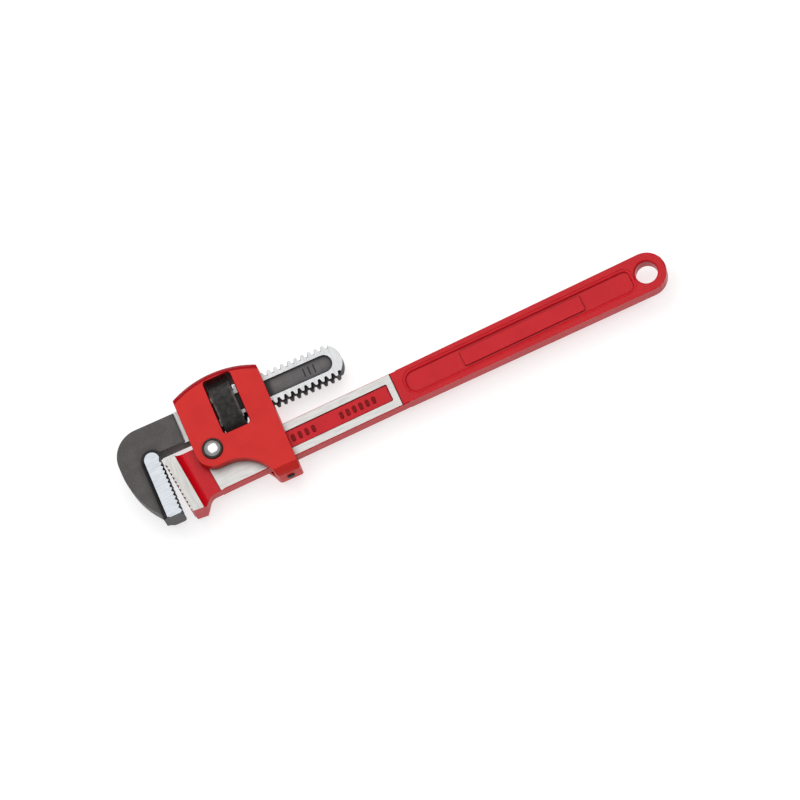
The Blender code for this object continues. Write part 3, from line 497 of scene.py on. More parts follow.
def ground_steel(name, light, dark, stretch, turn, roughness):
    """Bright surface-ground steel with fine parallel grinding lines, and painted shade in its
    corners.
    """
    finish = Finish(name)
    lines = finish.grain(1.0, 4.0, finish.place(stretch, turn))
    cloud = finish.grain(9.0, 2.0)
    colour = finish.mix(lines.above(0.3, 0.75), light, dark)
    colour = finish.mix(cloud.above(0.4, 0.75) * 0.3, colour, dark)
    # painted shade: corners darken towards near black
    colour = finish.mix(0.7 - 0.7 * finish.hollows(1.2), colour, (0.05, 0.045, 0.045))
    return finish.surface(
        Base_Color=colour,
        Metallic=0.45,
        Roughness=roughness + 0.14 * lines,
        Normal=finish.bump(lines, 0.03),
    )


GRIP_RED = enamel(
    "grip_enamel", (0.55, 0.003, 0.010), (0.30, 0.0, 0.006), (0.60, 0.04, 0.04), 0.26, 0.10
)
PANEL_STEEL = ground_steel(
    "ground_panel_steel", (0.46, 0.455, 0.44), (0.38, 0.375, 0.365),
    (0.12, 1.6, 1.0), (0.0, 0.0, 0.6), 0.34,
)

pivot_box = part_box("pivot_rivet")
PIVOT = (pivot_box[0] + pivot_box[1]) / 2.0

# The bar, its rounded grip and its ground side panels.
leant = 2.0 * BAR_HALF_HEIGHT * math.tan(math.radians(HEEL_LEAN))
outline = [Vector(corner) for corner in (
    (PANEL_START - 0.9, HEAD_TOP),
    (PANEL_START + leant, -BAR_HALF_HEIGHT),
    (PANEL_END + GRIP_LEAD, -BAR_HALF_HEIGHT),
    (PANEL_END + GRIP_FULL, -BAR_HALF_HEIGHT),
)]
outline += arc(EYE_X, 0.0, TAIL_RADIUS, -90.0, 90.0, 36)
outline += [Vector(corner) for corner in (
    (PANEL_END + GRIP_FULL, BAR_HALF_HEIGHT),
    (PANEL_END + GRIP_LEAD, BAR_HALF_HEIGHT),
    (SLOPE_START, BAR_HALF_HEIGHT),
    *SLOPE,
)]
handle = slab("wrench_handle", outline, -SKIN_HALF, 2.0 * SKIN_HALF, GRIP_RED)


def level(a, b):
    """Whether an edge keeps to one height, so that it follows the outline."""
    return abs(a.z - b.z) < 0.01


pick("EDGE", lambda a, b: (
    level(a, b) and min(a.x, b.x) > PANEL_END + 0.5 and max(a.x, b.x) > PANEL_END + 4.3
))
bpy.ops.mesh.bevel(offset=GRIP_ROUND, segments=5, clamp_overlap=True)
bpy.ops.object.mode_set(mode="OBJECT")

# A hollow plane rounds each long edge up to the grip.  It fades in at its start.
for turn, start in (
    (0.0, PANEL_START - 3.0), (180.0, PANEL_START - 3.0), (0.0, 29.5), (180.0, 29.5)
):
    low_edge = start < 0.0
    middle = Vector((
        BAR_HALF_HEIGHT - EDGE_ROUND + PLANE_SETBACK, SKIN_HALF - EDGE_ROUND + PLANE_SETBACK
    ))
    sweep = arc(middle.x, middle.y, EDGE_ROUND, -1.0, 91.0, 8)
    sweep += [
        Vector((BAR_HALF_HEIGHT - EDGE_ROUND, SKIN_HALF + PLANE_OUT)),
        Vector((BAR_HALF_HEIGHT + PLANE_OUT, SKIN_HALF + PLANE_OUT)),
        Vector((BAR_HALF_HEIGHT + PLANE_OUT, SKIN_HALF - EDGE_ROUND)),
    ]
    side = -1.0 if low_edge == (turn < 90.0) else 1.0
    points = [(side * p.x, p.y) for p in sweep]
    plane = slab("edge_plane", points, start, EDGE_FADE, GRIP_RED)
    pick("FACE", lambda c, n: n.z > 0.9)
    onwards = PANEL_END + 4.5 - start - EDGE_FADE
    push(0.0, 0.0, onwards)
    pick("FACE", lambda c, n: n.z < -0.9)
    bpy.ops.transform.translate(value=(1.2 * side, 1.2, 0.0))
    settle(plane, turn=(90.0, 0.0, 90.0))
    work(handle, settle(plane, turn=(turn, 0.0, 0.0)))

# Grinding the side panels leaves bright flats that stop at a small step.
panel = (PANEL_START - 40.0, PANEL_END, -2.0 * HEAD_TOP, 2.0 * HEAD_TOP)
grind(handle, BAR_HALF, panel, PANEL_STEEL)


def row_of(piece, places):
    """Copies a drawing to each place, every copy with its own mesh, and joins them."""
    only(piece)
    copies = []
    for place in places[1:]:
        only(piece)
        bpy.ops.object.duplicate()
        bpy.ops.transform.translate(value=place)
        copies.append(bpy.context.object)
    only(piece)
    bpy.ops.transform.translate(value=places[0])
    for copy in copies:
        copy.select_set(True)
    bpy.ops.object.join()
    bpy.ops.object.transform_apply()


# The painted recess in each panel with its plain raised marks, and the grip
# pocket with its raised pad.
# A dark red enamel used as painted shade: the recess walls, the raised marks and the scored line
# wear it for the shadow they would hold.
MARK_SHADE_RED = enamel(
    "mark_painted_shade_enamel", (0.20, 0.003, 0.005), (0.10, 0.0, 0.002), (0.45, 0.02, 0.02), 0.36, 0.0
)
MARKS = [53.6 + 5.1 * k for k in range(4)] + [90.2 + 4.9 * k for k in range(6)]
MARK_HALF = (1.2, 2.6)
MARK_CORNER = 0.9
MARK_FOOT = 1.3         # how far a mark's block starts below the panel
MARK_BEVEL = 0.3
SCORE_SHIFT = 0.07      # the scored line where grinding stops
SCORE_WIDTH = 0.55
SCORE_DEPTH = 0.4
POCKET_LIP = (0.7, 0.5)
POCKET_WALL = 1.6
PAD_BEVEL = 0.45
for side in (0.0, 180.0):
    recess = rounded(box_outline(GROOVE[0], GROOVE[1], GROOVE[2] + 0.25, 1.2))
    die = slab("recess_die", recess, BAR_HALF, 2.0, MARK_SHADE_RED)
    # the recess walls keep the dark red as painted shade; the floor takes the grip's red
    die.data.materials.append(GRIP_RED)
    pick("FACE", lambda c, n: n.z < -0.9)
    step_down([(0.25, 0.35), (0.0, GROOVE_SINK - 0.65), (0.3, 0.3)])
    die.active_material_index = 1
    bpy.ops.object.material_slot_assign()
    work(handle, settle(die, turn=(side, 0.0, 0.0)))
    mark = rounded(box_outline(-MARK_HALF[0], MARK_HALF[0], MARK_HALF[1], MARK_CORNER))
    block = slab("recess_mark", mark, BAR_HALF - MARK_FOOT, MARK_FOOT - MARK_BEVEL, MARK_SHADE_RED)
    pick("EDGE", lambda a, b: min(a.z, b.z) > BAR_HALF - 0.4)
    bpy.ops.mesh.bevel(offset=MARK_BEVEL, segments=2)
    row_of(block, [(x, 0.0, 0.0) for x in MARKS])
    work(handle, settle(block, turn=(side, 0.0, 0.0)), "UNION")

    # the scored line wears the dark red as painted shade
    stop = PANEL_END + SCORE_SHIFT
    line = [(stop, 14.0), (stop, -14.0), (stop - SCORE_WIDTH, -14.0), (stop - SCORE_WIDTH, 14.0)]
    score = slab("end_score", line, BAR_HALF - SCORE_DEPTH, 3.0, MARK_SHADE_RED)
    work(handle, settle(score, turn=(side, 0.0, 0.0)))

    start, end, half = POCKET
    out, down = POCKET_LIP
    reach = half + out
    corners = [
        (x, y, reach * (0.9 if x < EYE_X / 2.0 else 0.62))
        for x, y in rectangle(start - out, end + out, -reach, reach)
    ]
    die = slab("pocket_die", rounded(corners), SKIN_HALF, 3.0, GRIP_RED)
    pick("FACE", lambda c, n: n.z < -0.9)
    step_down(quarter(out, down, 3, True) + quarter(POCKET_WALL, POCKET_SINK - down, 4, False))
    level_top = SKIN_HALF - GRIP_PAD_BELOW
    pad = slab("pad_die", rounded(box_outline(*GRIP_PAD, 1.4)), level_top - 4.0, 4.0, GRIP_RED)
    pick("EDGE", lambda a, b: min(a.z, b.z) > level_top - 0.1)
    bpy.ops.mesh.bevel(offset=PAD_BEVEL, segments=3)
    work(die, pad)
    work(handle, settle(die, turn=(side, 0.0, 0.0)))

# The head and heel jaw, hollowed on each side from the pad to the red flat,
# all drawn about the top tooth and then leaned back.
HEEL_PAD_STEEL = ground_steel(
    "heel_pad_steel", (0.46, 0.45, 0.43), (0.36, 0.355, 0.34),
    (1.6, 0.12, 1.0), (0.0, 0.0, 0.35), 0.36,
)
lean = Matrix.Rotation(math.radians(HEEL_LEAN), 2)
heel_corner = Vector((HEEL_X, HEEL_TOP))


def leaned(x, y):
    """A heel point, leaned about the top of the heel."""
    return heel_corner + lean @ (Vector((x, y)) - heel_corner)


def saw(tip, first, count, side):
    """A toothed edge going down from the first tooth; side is the way the tips point."""
    points = []
    for k in range(count):
        y = first - k * TOOTH_PITCH
        points += [(tip - side * TOOTH_DEPTH, y - 0.04 * TOOTH_PITCH)]
        points += [(tip - side * 0.12, y - 0.40 * TOOTH_PITCH), (tip, y - 0.46 * TOOTH_PITCH)]
        points += [(tip, y - 0.54 * TOOTH_PITCH), (tip - side * 0.12, y - 0.60 * TOOTH_PITCH)]
        points += [(tip - side * TOOTH_DEPTH, y - 0.96 * TOOTH_PITCH)]
    return points


foot = leaned(HEEL_X + 0.3, HEEL_BOTTOM)
outline = rounded([
    (foot.x + 0.3, foot.y + 0.3, 1.2),
    (foot.x + 9.6, HEEL_BOTTOM - 0.5, 4.5),
    (foot.x + 15.6, -BAR_HALF_HEIGHT, 7.0),
    (PANEL_START + 14.0, -BAR_HALF_HEIGHT, 0.0),
    (PANEL_START + 14.0, HEAD_TOP - 3.0, 0.0),
    (PANEL_START + 5.0, HEAD_TOP - 0.4, 0.0),
    (leaned(HEEL_X, HEEL_TOP).x + 6.5, HEAD_TOP - 0.4, 4.0),
    (HEEL_X + 1.6, HEEL_TOP, 0.6),
])
outline += [leaned(x, y) for x, y in saw(HEEL_X, HEEL_TOP - 1.0, HEEL_TEETH, -1.0)]
stock = HEEL_HALF + GRINDING_STOCK
head = slab("heel_head", outline, -stock, 2.0 * stock, GRIP_RED)
for side in (1.0, -1.0):
    hollow = [(HEEL_PAD, HEEL_HALF + 3.0)]
    for s in range(13):
        a = 0.5 * math.pi * s / 12
        hollow.append((
            HEEL_PAD + HEEL_SLOPE * (1.0 - math.cos(a)),
            HEEL_HALF + 0.01 - (HEEL_HALF - HEAD_HALF) * math.sin(a),
        ))
    hollow += [(60.0, HEAD_HALF), (60.0, HEEL_HALF + 3.0)]
    cutter = slab("hollow_die", [(x, side * z) for x, z in hollow], -40.0, 110.0, GRIP_RED)
    settle(cutter, turn=(90.0, 0.0, 0.0))
    work(head, settle(cutter, place=(HEEL_X, HEEL_TOP, 0.0), turn=(0.0, 0.0, HEEL_LEAN)))
grind(head, HEEL_HALF, (-60.0, 60.0, -60.0, 60.0), HEEL_PAD_STEEL)
work(handle, head, "UNION")

# The pivot hole and the rounded hanging eye.
put_down()
bpy.ops.mesh.primitive_cylinder_add(
    vertices=48, radius=PIVOT_HOLE, depth=60.0, location=(0.0, PIVOT_ABOVE_AXIS, 0.0)
)
work(handle, wearing(GRIP_RED))


def turn_profile(name, profile, sides):
    """Turns a profile of (radius, height) about Z."""
    piece = pen(name, profile, closed=False)
    bpy.ops.mesh.select_all(action="SELECT")
    bpy.ops.mesh.spin(
        steps=sides, angle=2.0 * math.pi, center=(0.0, 0.0, 0.0), axis=(0.0, 1.0, 0.0)
    )
    bpy.ops.mesh.select_all(action="SELECT")
    bpy.ops.mesh.remove_doubles(threshold=0.001)
    bpy.ops.mesh.normals_make_consistent(inside=False)
    return settle(piece, turn=(90.0, 0.0, 0.0))


lip = [(0.0, SKIN_HALF + 1.0), (EYE_RADIUS + EYE_LIP, SKIN_HALF + 1.0)]
for s in range(7):
    a = 0.5 * math.pi * s / 6
    radius = EYE_RADIUS + EYE_LIP * (1.0 - math.sin(a))
    lip.append((radius, SKIN_HALF - EYE_LIP * (1.0 - math.cos(a))))
eye = turn_profile("eye_drift", lip + [(radius, -height) for radius, height in lip[::-1]], 64)
settle(eye, place=(EYE_X, 0.0, 0.0))
work(handle, wearing(GRIP_RED))
break_edges(handle, BROKEN_EDGE)
smooth(handle)
settle(handle, place=(PIVOT.x, PIVOT.y - PIVOT_ABOVE_AXIS * MM, PIVOT.z), size=MM)
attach(handle, "handle_body")
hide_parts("handle")

# ---- Frame, the housing that rocks on the handle ----
# A red enamelled steel casting with two side plates, a window for the nut, a
# cross web and a saddle lug under the handle.
FRAME_TILT = -1.25
FRAME_FRONT = -12.6
FRAME_REAR = 50.4
FRAME_HALF = 15.0
FRAME_CREST = (18.6, 52.0)
FRAME_TOP_RADIUS = 72.0
FRAME_TOP_BEVEL = 4.2
LOBE_RADIUS = 12.6
ARCH_X = 5.0
ARCH_RADIUS = 29.0
ARCH_END = 20.0         # degrees, where the arch meets the lug
LUG_FRONT = 32.8
LUG_BOTTOM = -35.9
LUG_FLOOR = 5.1
LUG_CHAMFER = (4.3, 7.0)
WEB_FRONT = 34.0
SHANK_Y = 26.7
THREAD_RADIUS = 13.45
SHANK_SLOT_HALF = 6.7
HANDLE_SLOT_HALF = 6.7
WINDOW = (11.5, 31.4, 20.0)
SPRING_X = 42.0
JAW_SPRING_X = -0.6
SPOT_RADIUS = 3.25
SPOT_HEIGHT = 49.1
SPRING_RIVET_HOLE = 1.6
LUG_CORNERS = (3.0, 1.5)
SIDE_BEVEL = 0.7
SLOT_PLAY = 0.6         # round the thread
HANDLE_PLAY = 0.3       # over the bar
TOP_POCKET = (-10.2, 9.0, 38.0, 43.35)
TOP_POCKET_HALF = 5.2
WINDOW_CORNER = 2.5
WINDOW_LIP = (0.5, 0.6)

FRAME_RED = enamel(
    "frame_enamel", (0.61, 0.014, 0.010), (0.33, 0.0, 0.008), (0.66, 0.09, 0.07), 0.34, 0.09
)
# A darker copy of the frame's enamel, painted shade on the top bevel, which faces away from the
# light.
SHADED_SHOULDER_RED = enamel(
    "frame_shoulder_painted_shade_enamel",
    (0.36, 0.001, 0.008), (0.22, 0.0, 0.005), (0.60, 0.05, 0.04), 0.34, 0.02,
)
# A near black red, painted shade on the nut window's rim and walls.
WINDOW_SHADE_RED = enamel(
    "window_painted_shade_enamel", (0.13, 0.004, 0.004), (0.04, 0.0, 0.001), (0.22, 0.02, 0.02), 0.5, 0.0
)

outline = arc(0.0, 0.0, LOBE_RADIUS, 180.0, 272.0, 16)
outline += arc(ARCH_X, 0.1 - LOBE_RADIUS - ARCH_RADIUS, ARCH_RADIUS, 90.0, ARCH_END, 16)
front, rear = LUG_CORNERS
outline += arc(LUG_FRONT + front, LUG_BOTTOM + front, front, 190.0, 270.0, 6)
outline += arc(FRAME_REAR - rear, LUG_BOTTOM + rear, rear, 270.0, 360.0, 4)
crest_x, crest_y = FRAME_CREST
first = math.degrees(math.acos((FRAME_REAR - crest_x) / FRAME_TOP_RADIUS))
last = math.degrees(math.acos((FRAME_FRONT - crest_x) / FRAME_TOP_RADIUS))
outline += arc(crest_x, crest_y - FRAME_TOP_RADIUS, FRAME_TOP_RADIUS, first, last, 28)
housing = slab("wrench_frame", outline, -FRAME_HALF, 2.0 * FRAME_HALF, FRAME_RED)
shoulder = outline[-1].y
pick("EDGE", lambda a, b: level(a, b) and min(a.y, b.y) > shoulder - 0.8)
bpy.ops.mesh.bevel(
    offset=FRAME_TOP_BEVEL, segments=3, profile=0.42, clamp_overlap=True
)
# the top bevel takes the darker enamel as painted shade
housing.data.materials.append(SHADED_SHOULDER_RED)
housing.active_material_index = 1
bpy.ops.object.material_slot_assign()
pick("EDGE", lambda a, b: (
    level(a, b) and abs(abs(a.z) - FRAME_HALF) < 0.01
    and max(a.y, b.y) < 0.1 and min(a.y, b.y) > LUG_BOTTOM + 14.0
))
bpy.ops.mesh.bevel(offset=SIDE_BEVEL, segments=3, clamp_overlap=True)

# The lug's slanted cheeks.
for side in (1.0, -1.0):
    down, across = LUG_CHAMFER
    cheek = [
        (LUG_BOTTOM + down, FRAME_HALF),
        (LUG_BOTTOM, FRAME_HALF - across),
        (LUG_BOTTOM - 3.0, FRAME_HALF - across - 3.0 * across / down),
        (LUG_BOTTOM - 3.0, FRAME_HALF + 5.0),
        (LUG_BOTTOM + down + 3.0, FRAME_HALF + 5.0),
        (LUG_BOTTOM + down + 2.2, FRAME_HALF + 0.05),
    ]
    cutter = slab("cheek_die", [(y, side * z) for y, z in cheek], -25.0, 60.0, FRAME_RED)
    settle(cutter, turn=(90.0, 0.0, 90.0))
    work(housing, settle(cutter, place=(SPRING_X - 5.0, 0.0, 0.0)))


def slotted(name, points, half):
    """A tool that clears a slot through the frame, seen from its side."""
    return slab(name, points, -half, 2.0 * half, FRAME_RED)


tilt = math.radians(FRAME_TILT)


def along_handle(x, y):
    """A point on the handle, as the tilted frame has it."""
    return Matrix.Rotation(-tilt, 2) @ Vector((x, y - PIVOT_ABOVE_AXIS))


def on_frame(x, y):
    """Where a point of the frame, in millimetres from the pivot, lies in the world."""
    return PIVOT + Matrix.Rotation(tilt, 3, "Z") @ Vector((x * MM, y * MM, 0.0))


low, high = SHANK_Y - THREAD_RADIUS - SLOT_PLAY, SHANK_Y + THREAD_RADIUS + SLOT_PLAY
work(housing, slotted("shank_slot", rectangle(-20.0, 60.0, low, high), SHANK_SLOT_HALF))
work(housing, slotted("handle_slot", [
    (-20.0, LUG_BOTTOM + LUG_FLOOR),
    (60.0, LUG_BOTTOM + LUG_FLOOR),
    along_handle(56.4, BAR_HALF_HEIGHT + HANDLE_PLAY),
    along_handle(WEB_FRONT, BAR_HALF_HEIGHT + HANDLE_PLAY),
    (WEB_FRONT, low + 2.6),
    (-20.0, low + 2.6),
], HANDLE_SLOT_HALF))

# The nut window, with its rim rounded on both sides, its rim and walls near black red as painted
# shade.
start, end, half = WINDOW
out, down = WINDOW_LIP
corners = rectangle(start - out, end + out, SHANK_Y - half - out, SHANK_Y + half + out)
window = slab(
    "window_die", rounded([(x, y, WINDOW_CORNER) for x, y in corners]), FRAME_HALF, 4.0, WINDOW_SHADE_RED
)
pick("FACE", lambda c, n: n.z < -0.9)
step_down(quarter(out, down, 3, True) + [(0.0, 2.0 * FRAME_HALF - 2.0 * down)])
wide, tall = end - start, 2.0 * half
for outwards, onwards in ((0.067, 0.300), (0.183, 0.220), (0.250, 0.080), (0.0, 4.0)):
    push(0.0, 0.0, -onwards)
    bpy.ops.transform.resize(
        value=(1.0 + 2.0 * outwards / wide, 1.0 + 2.0 * outwards / tall, 1.0),
        center_override=(0.5 * (start + end), SHANK_Y, 0.0),
    )
    wide += 2.0 * outwards
    tall += 2.0 * outwards
work(housing, window)

# Holes for the three rivets, the spring pocket and the spot face above it.
for radius, height, place, turn in (
    (4.9, 60.0, (0.0, 0.0, 0.0), 0.0),
    (SPRING_RIVET_HOLE, 16.0, (SPRING_X, LUG_BOTTOM + 2.5, 0.0), 90.0),
    (SPRING_RIVET_HOLE, 16.0, (JAW_SPRING_X, 48.0, 0.0), 90.0),
    (SPOT_RADIUS, 12.0, (JAW_SPRING_X, SPOT_HEIGHT + 6.0, 0.0), 90.0),
):
    put_down()
    bpy.ops.mesh.primitive_cylinder_add(
        vertices=40, radius=radius, depth=height, location=place,
        rotation=(math.radians(turn), 0.0, 0.0),
    )
    work(housing, wearing(FRAME_RED))
work(housing, slotted("spring_pocket", rectangle(*TOP_POCKET), TOP_POCKET_HALF))
break_edges(housing, 0.28)
smooth(housing)
settle(housing, place=PIVOT, turn=(0.0, 0.0, FRAME_TILT), size=MM)
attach(housing, "frame_body")
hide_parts("frame")

# ---- Hook jaw with its threaded shank ----
# One black forging.  The tooth pad and the shank's flats are ground bright,
# a coarse thread is cut round the flat shank and its web is sunk and black.
THREAD_PITCH = 5.08
THREAD_DEPTH = 2.65
THREAD_FLANK = 20.0
SHANK_HALF = 6.0
SHANK_END = 106.5
THREAD_START = 0.5
NECK_HALF = 11.7
WEB = (-4.0, 99.5, 6.35)
WEB_SINK = 1.4
STROKES = (78.5, 82.3, 86.1)    # plain strokes in the web
STROKE_HALF = (0.55, 3.3)
STROKE_DEPTH = 0.35
HOOK_HALF = 8.0
HOOK_SHOULDER = -15.9
HOOK_TOP = 10.9
HOOK_UNDER = -11.1
HOOK_BACK = -64.9
HOOK_ROUND = 2.2
NOSE_BOTTOM = -58.3
NOSE_TIP_X = -36.2
JAW_PAD_HALF = 11.0
JAW_PAD_BACK = -47.2
JAW_PAD_TOP = -9.6
JAW_PAD_SKIRT = 3.2
JAW_PAD_CORNERS = (2.5, 2.0)
SKIRT_FACE = [(-37.9, -80.0), (-10.0, -80.0), (-10.0, -10.9), (-36.3, -10.9), (-37.9, -12.6)]
SKIRT_SOLE = rectangle(-80.0, -20.0, -80.0, -57.6)
TOOTH_TIP = -36.4
HOOK_TEETH_TOP = -18.0
HOOK_TEETH = 11


def black_forging(name, dark, light, worn):
    """Black oxide over a shot-blasted forging, rubbed brighter on its edges, with painted shade in
    its hollows and corners.
    """
    finish = Finish(name)
    scale = finish.grain(7.0, 4.0)
    pits = finish.grain(0.9, 3.0)
    colour = finish.mix(scale.above(0.35, 0.7), dark, light)
    colour = finish.mix(pits.above(0.5, 0.8) * 0.45, colour, worn)
    # painted shade: a dark halo round hollows, darker still in tight corners
    shade = (1.0 - finish.hollows(6.0)).above(0.02, 0.24)
    colour = finish.mix(shade, colour, (0.010, 0.010, 0.010))
    colour = finish.mix(1.0 - finish.hollows(1.2), colour, (0.004, 0.004, 0.004))
    colour = finish.mix(finish.edges(0.5) * scale.above(0.25, 0.65) * 0.4, colour, worn)
    return finish.surface(
        Base_Color=colour,
        Metallic=0.25,
        Roughness=0.42 + 0.22 * pits,
        Normal=finish.bump(pits + 0.7 * scale, 0.11),
        Specular_IOR_Level=0.35,
    )


HOOK_BLACK = black_forging(
    "hook_black", (0.056, 0.049, 0.049), (0.070, 0.062, 0.062), (0.15, 0.145, 0.15)
)
# A darker copy of the hook's black, painted shade on the concave skirt round the pad.
SKIRT_SHADE_BLACK = black_forging(
    "skirt_painted_shade_black", (0.020, 0.018, 0.018), (0.032, 0.029, 0.029), (0.12, 0.115, 0.12)
)
WEB_GREY = black_forging(
    "web_grey", (0.082, 0.076, 0.077), (0.105, 0.097, 0.098), (0.17, 0.165, 0.17)
)
THREAD_BLACK = black_forging(
    "thread_black", (0.012, 0.012, 0.013), (0.022, 0.022, 0.024), (0.10, 0.10, 0.105)
)
JAW_PAD_STEEL = ground_steel(
    "jaw_pad_steel", (0.44, 0.47, 0.50), (0.36, 0.385, 0.41),
    (0.14, 1.5, 1.0), (0.0, 0.0, 0.2), 0.32,
)
FLAT_STEEL = ground_steel(
    "shank_flat_steel", (0.48, 0.485, 0.49), (0.39, 0.395, 0.40),
    (1.4, 0.12, 1.0), (0.0, 0.0, 0.9), 0.34,
)

outline = rounded([
    (HOOK_SHOULDER, HOOK_UNDER, 0.0),
    (HOOK_SHOULDER, HOOK_TOP, 0.0),
    (HOOK_BACK, HOOK_TOP, 20.0),
    (HOOK_BACK, -34.9, 58.0),
    (-46.4, NOSE_BOTTOM, 7.0),
    (TOOTH_TIP - TOOTH_DEPTH, NOSE_BOTTOM, 2.0),
    (TOOTH_TIP - TOOTH_DEPTH, HOOK_UNDER, 2.5),
], 5.0)
hook = slab("wrench_hook_jaw", outline, -HOOK_HALF, 2.0 * HOOK_HALF, HOOK_BLACK)


def hook_rim(a, b):
    """The hook's outline edges, apart from its shoulder and its tooth face."""
    on_shoulder = min(a.x, b.x) > HOOK_SHOULDER - 0.01
    on_face = min(a.x, b.x) > TOOTH_TIP - 6.0 and max(a.y, b.y) < HOOK_UNDER - 1.0
    return level(a, b) and not on_shoulder and not on_face


pick("EDGE", hook_rim)
bpy.ops.mesh.bevel(offset=HOOK_ROUND, segments=5, clamp_overlap=True)

# The hollow skirt that carries the hook's face up to the pad, on both sides, coloured near black as
# painted shade.
front = TOOTH_TIP
half = 0.5 * (front - JAW_PAD_BACK)
grow = JAW_PAD_SKIRT
for side in (1.0, -1.0):
    skirt = arc(JAW_PAD_BACK + half, JAW_PAD_TOP - half, half + grow, 0.0, 180.0, 24)
    skirt += [Vector((JAW_PAD_BACK - grow, -72.0)), Vector((front + grow, -72.0))]
    boss = slab("pad_skirt", skirt, 0.0, HOOK_HALF - 0.02, SKIRT_SHADE_BLACK)
    pick("FACE", lambda c, n: n.z > 0.9)
    step_down(quarter(grow, JAW_PAD_HALF - HOOK_HALF + 0.5, 8, False))
    for trim in (SKIRT_FACE, SKIRT_SOLE):
        work(boss, slab("skirt_trim", trim, -2.0, 20.0, HOOK_BLACK))
    if side < 0.0:
        only(boss)
        bpy.ops.transform.mirror(orient_type="GLOBAL", constraint_axis=(False, False, True))
        bpy.ops.object.transform_apply()
        bpy.ops.object.mode_set(mode="EDIT")
        face_outwards()
    work(hook, boss, "UNION")

# The pad itself, its teeth cut right across it.
outline = arc(JAW_PAD_BACK + half, JAW_PAD_TOP - half, half, 0.0, 180.0, 24)
outline += [Vector((JAW_PAD_BACK, -54.4))]
back, nose = JAW_PAD_CORNERS
outline += arc(JAW_PAD_BACK + back, NOSE_BOTTOM + back, back, 180.0, 270.0, 6)
outline += arc(NOSE_TIP_X - nose, NOSE_BOTTOM + nose, nose, 270.0, 360.0, 6)
outline += saw(TOOTH_TIP, HOOK_TEETH_TOP, HOOK_TEETH, 1.0)[::-1]
stock = JAW_PAD_HALF + GRINDING_STOCK
block = slab("jaw_pad", outline, -stock, 2.0 * stock, HOOK_BLACK)
pick("EDGE", lambda a, b: level(a, b) and max(a.y, b.y) < NOSE_BOTTOM + 0.3)
bpy.ops.mesh.bevel(offset=1.1, segments=2, clamp_overlap=True)
work(hook, block, "UNION")
grind(hook, JAW_PAD_HALF, (-80.0, 0.0, -80.0, 20.0), JAW_PAD_STEEL)
break_edges(hook, 0.2)

# The shank: a flat bar, threaded round the outside, then ground on both sides.
flank = math.radians(THREAD_FLANK)
thread_lean = THREAD_DEPTH * math.tan(flank)


def screw(name, turns, start, grown):
    """A closed right-hand screw about X, its ridge at x = 0 where it faces +Y."""
    crest = 0.25 * (THREAD_PITCH - 2.0 * thread_lean)
    crest += grown * (1.0 - math.sin(flank)) / math.cos(flank)
    outer = THREAD_RADIUS + grown
    inner = outer - THREAD_DEPTH
    ridge = [
        (start - crest - thread_lean, inner),
        (start - crest, outer),
        (start + crest, outer),
        (start + crest + thread_lean, inner),
        (start - crest - thread_lean + THREAD_PITCH, inner),
    ]
    piece = pen(name, ridge, closed=False)
    modify(
        piece, "SCREW", axis="X", angle=2.0 * math.pi, screw_offset=THREAD_PITCH,
        iterations=turns, steps=48, render_steps=48, use_merge_vertices=True,
        merge_threshold=0.001, use_smooth_shade=False,
    )
    bpy.ops.object.mode_set(mode="EDIT")
    bpy.ops.mesh.select_all(action="SELECT")
    bpy.ops.mesh.remove_doubles(threshold=0.002)
    middle = start + 0.5 * turns * THREAD_PITCH
    for end in (-1.0, 1.0):
        bpy.ops.mesh.select_mode(type="EDGE")
        bpy.ops.mesh.select_all(action="DESELECT")
        drawn = bmesh.from_edit_mesh(piece.data)
        for edge in drawn.edges:
            if edge.is_boundary and (edge.verts[0].co.x - middle) * end > 0.0:
                edge.select_set(True)
        bmesh.update_edit_mesh(piece.data)
        bpy.ops.mesh.extrude_edges_move(TRANSFORM_OT_translate={"value": (4.0 * end, 0.0, 0.0)})
        bpy.ops.mesh.merge(type="CENTER")
    face_outwards()
    wearing(THREAD_BLACK)
    only(piece)
    return piece


end = SHANK_END - THREAD_RADIUS
outline = [
    Vector((HOOK_SHOULDER - 3.0, -THREAD_RADIUS - 1.0)),
    Vector((HOOK_SHOULDER - 3.0, THREAD_RADIUS + 1.0)),
    Vector((end - 4.0, THREAD_RADIUS + 1.0)),
]
outline += arc(end, 0.0, THREAD_RADIUS + 0.03, 90.0, -90.0, 36)
outline += [Vector((end - 4.0, -THREAD_RADIUS - 1.0))]
stock = SHANK_HALF + GRINDING_STOCK
shank = slab("shank_bar", outline, -stock, 2.0 * stock, THREAD_BLACK)
grind(shank, SHANK_HALF, (-40.0, 140.0, -40.0, 40.0), FLAT_STEEL)
start, end, half = WEB
wide, tall = STROKE_HALF
for side in (0.0, 180.0):
    web = rounded([
        (x, y, 2.0 if x == start else half - 0.05) for x, y in rectangle(start, end, -half, half)
    ])
    die = slab("web_die", web, SHANK_HALF, 2.0, WEB_GREY)
    pick("FACE", lambda c, n: n.z < -0.9)
    step_down([(0.0, WEB_SINK - 0.35)] + quarter(0.35, 0.35, 3, False))
    work(shank, settle(die, turn=(side, 0.0, 0.0)))
    stroke = rounded(box_outline(-wide, wide, tall, 0.5))
    punch = slab("web_stroke", stroke, SHANK_HALF - WEB_SINK - STROKE_DEPTH, 3.0, THREAD_BLACK)
    row_of(punch, [(x, 0.0, 0.0) for x in STROKES])
    work(shank, settle(punch, turn=(side, 0.0, 0.0)))
thread = screw("shank_thread", 26, -3.0 * THREAD_PITCH, 0.0)
unthreaded = rectangle(-60.0, THREAD_START, -30.0, 30.0)
work(thread, slab("thread_end", unthreaded, -30.0, 60.0, THREAD_BLACK))
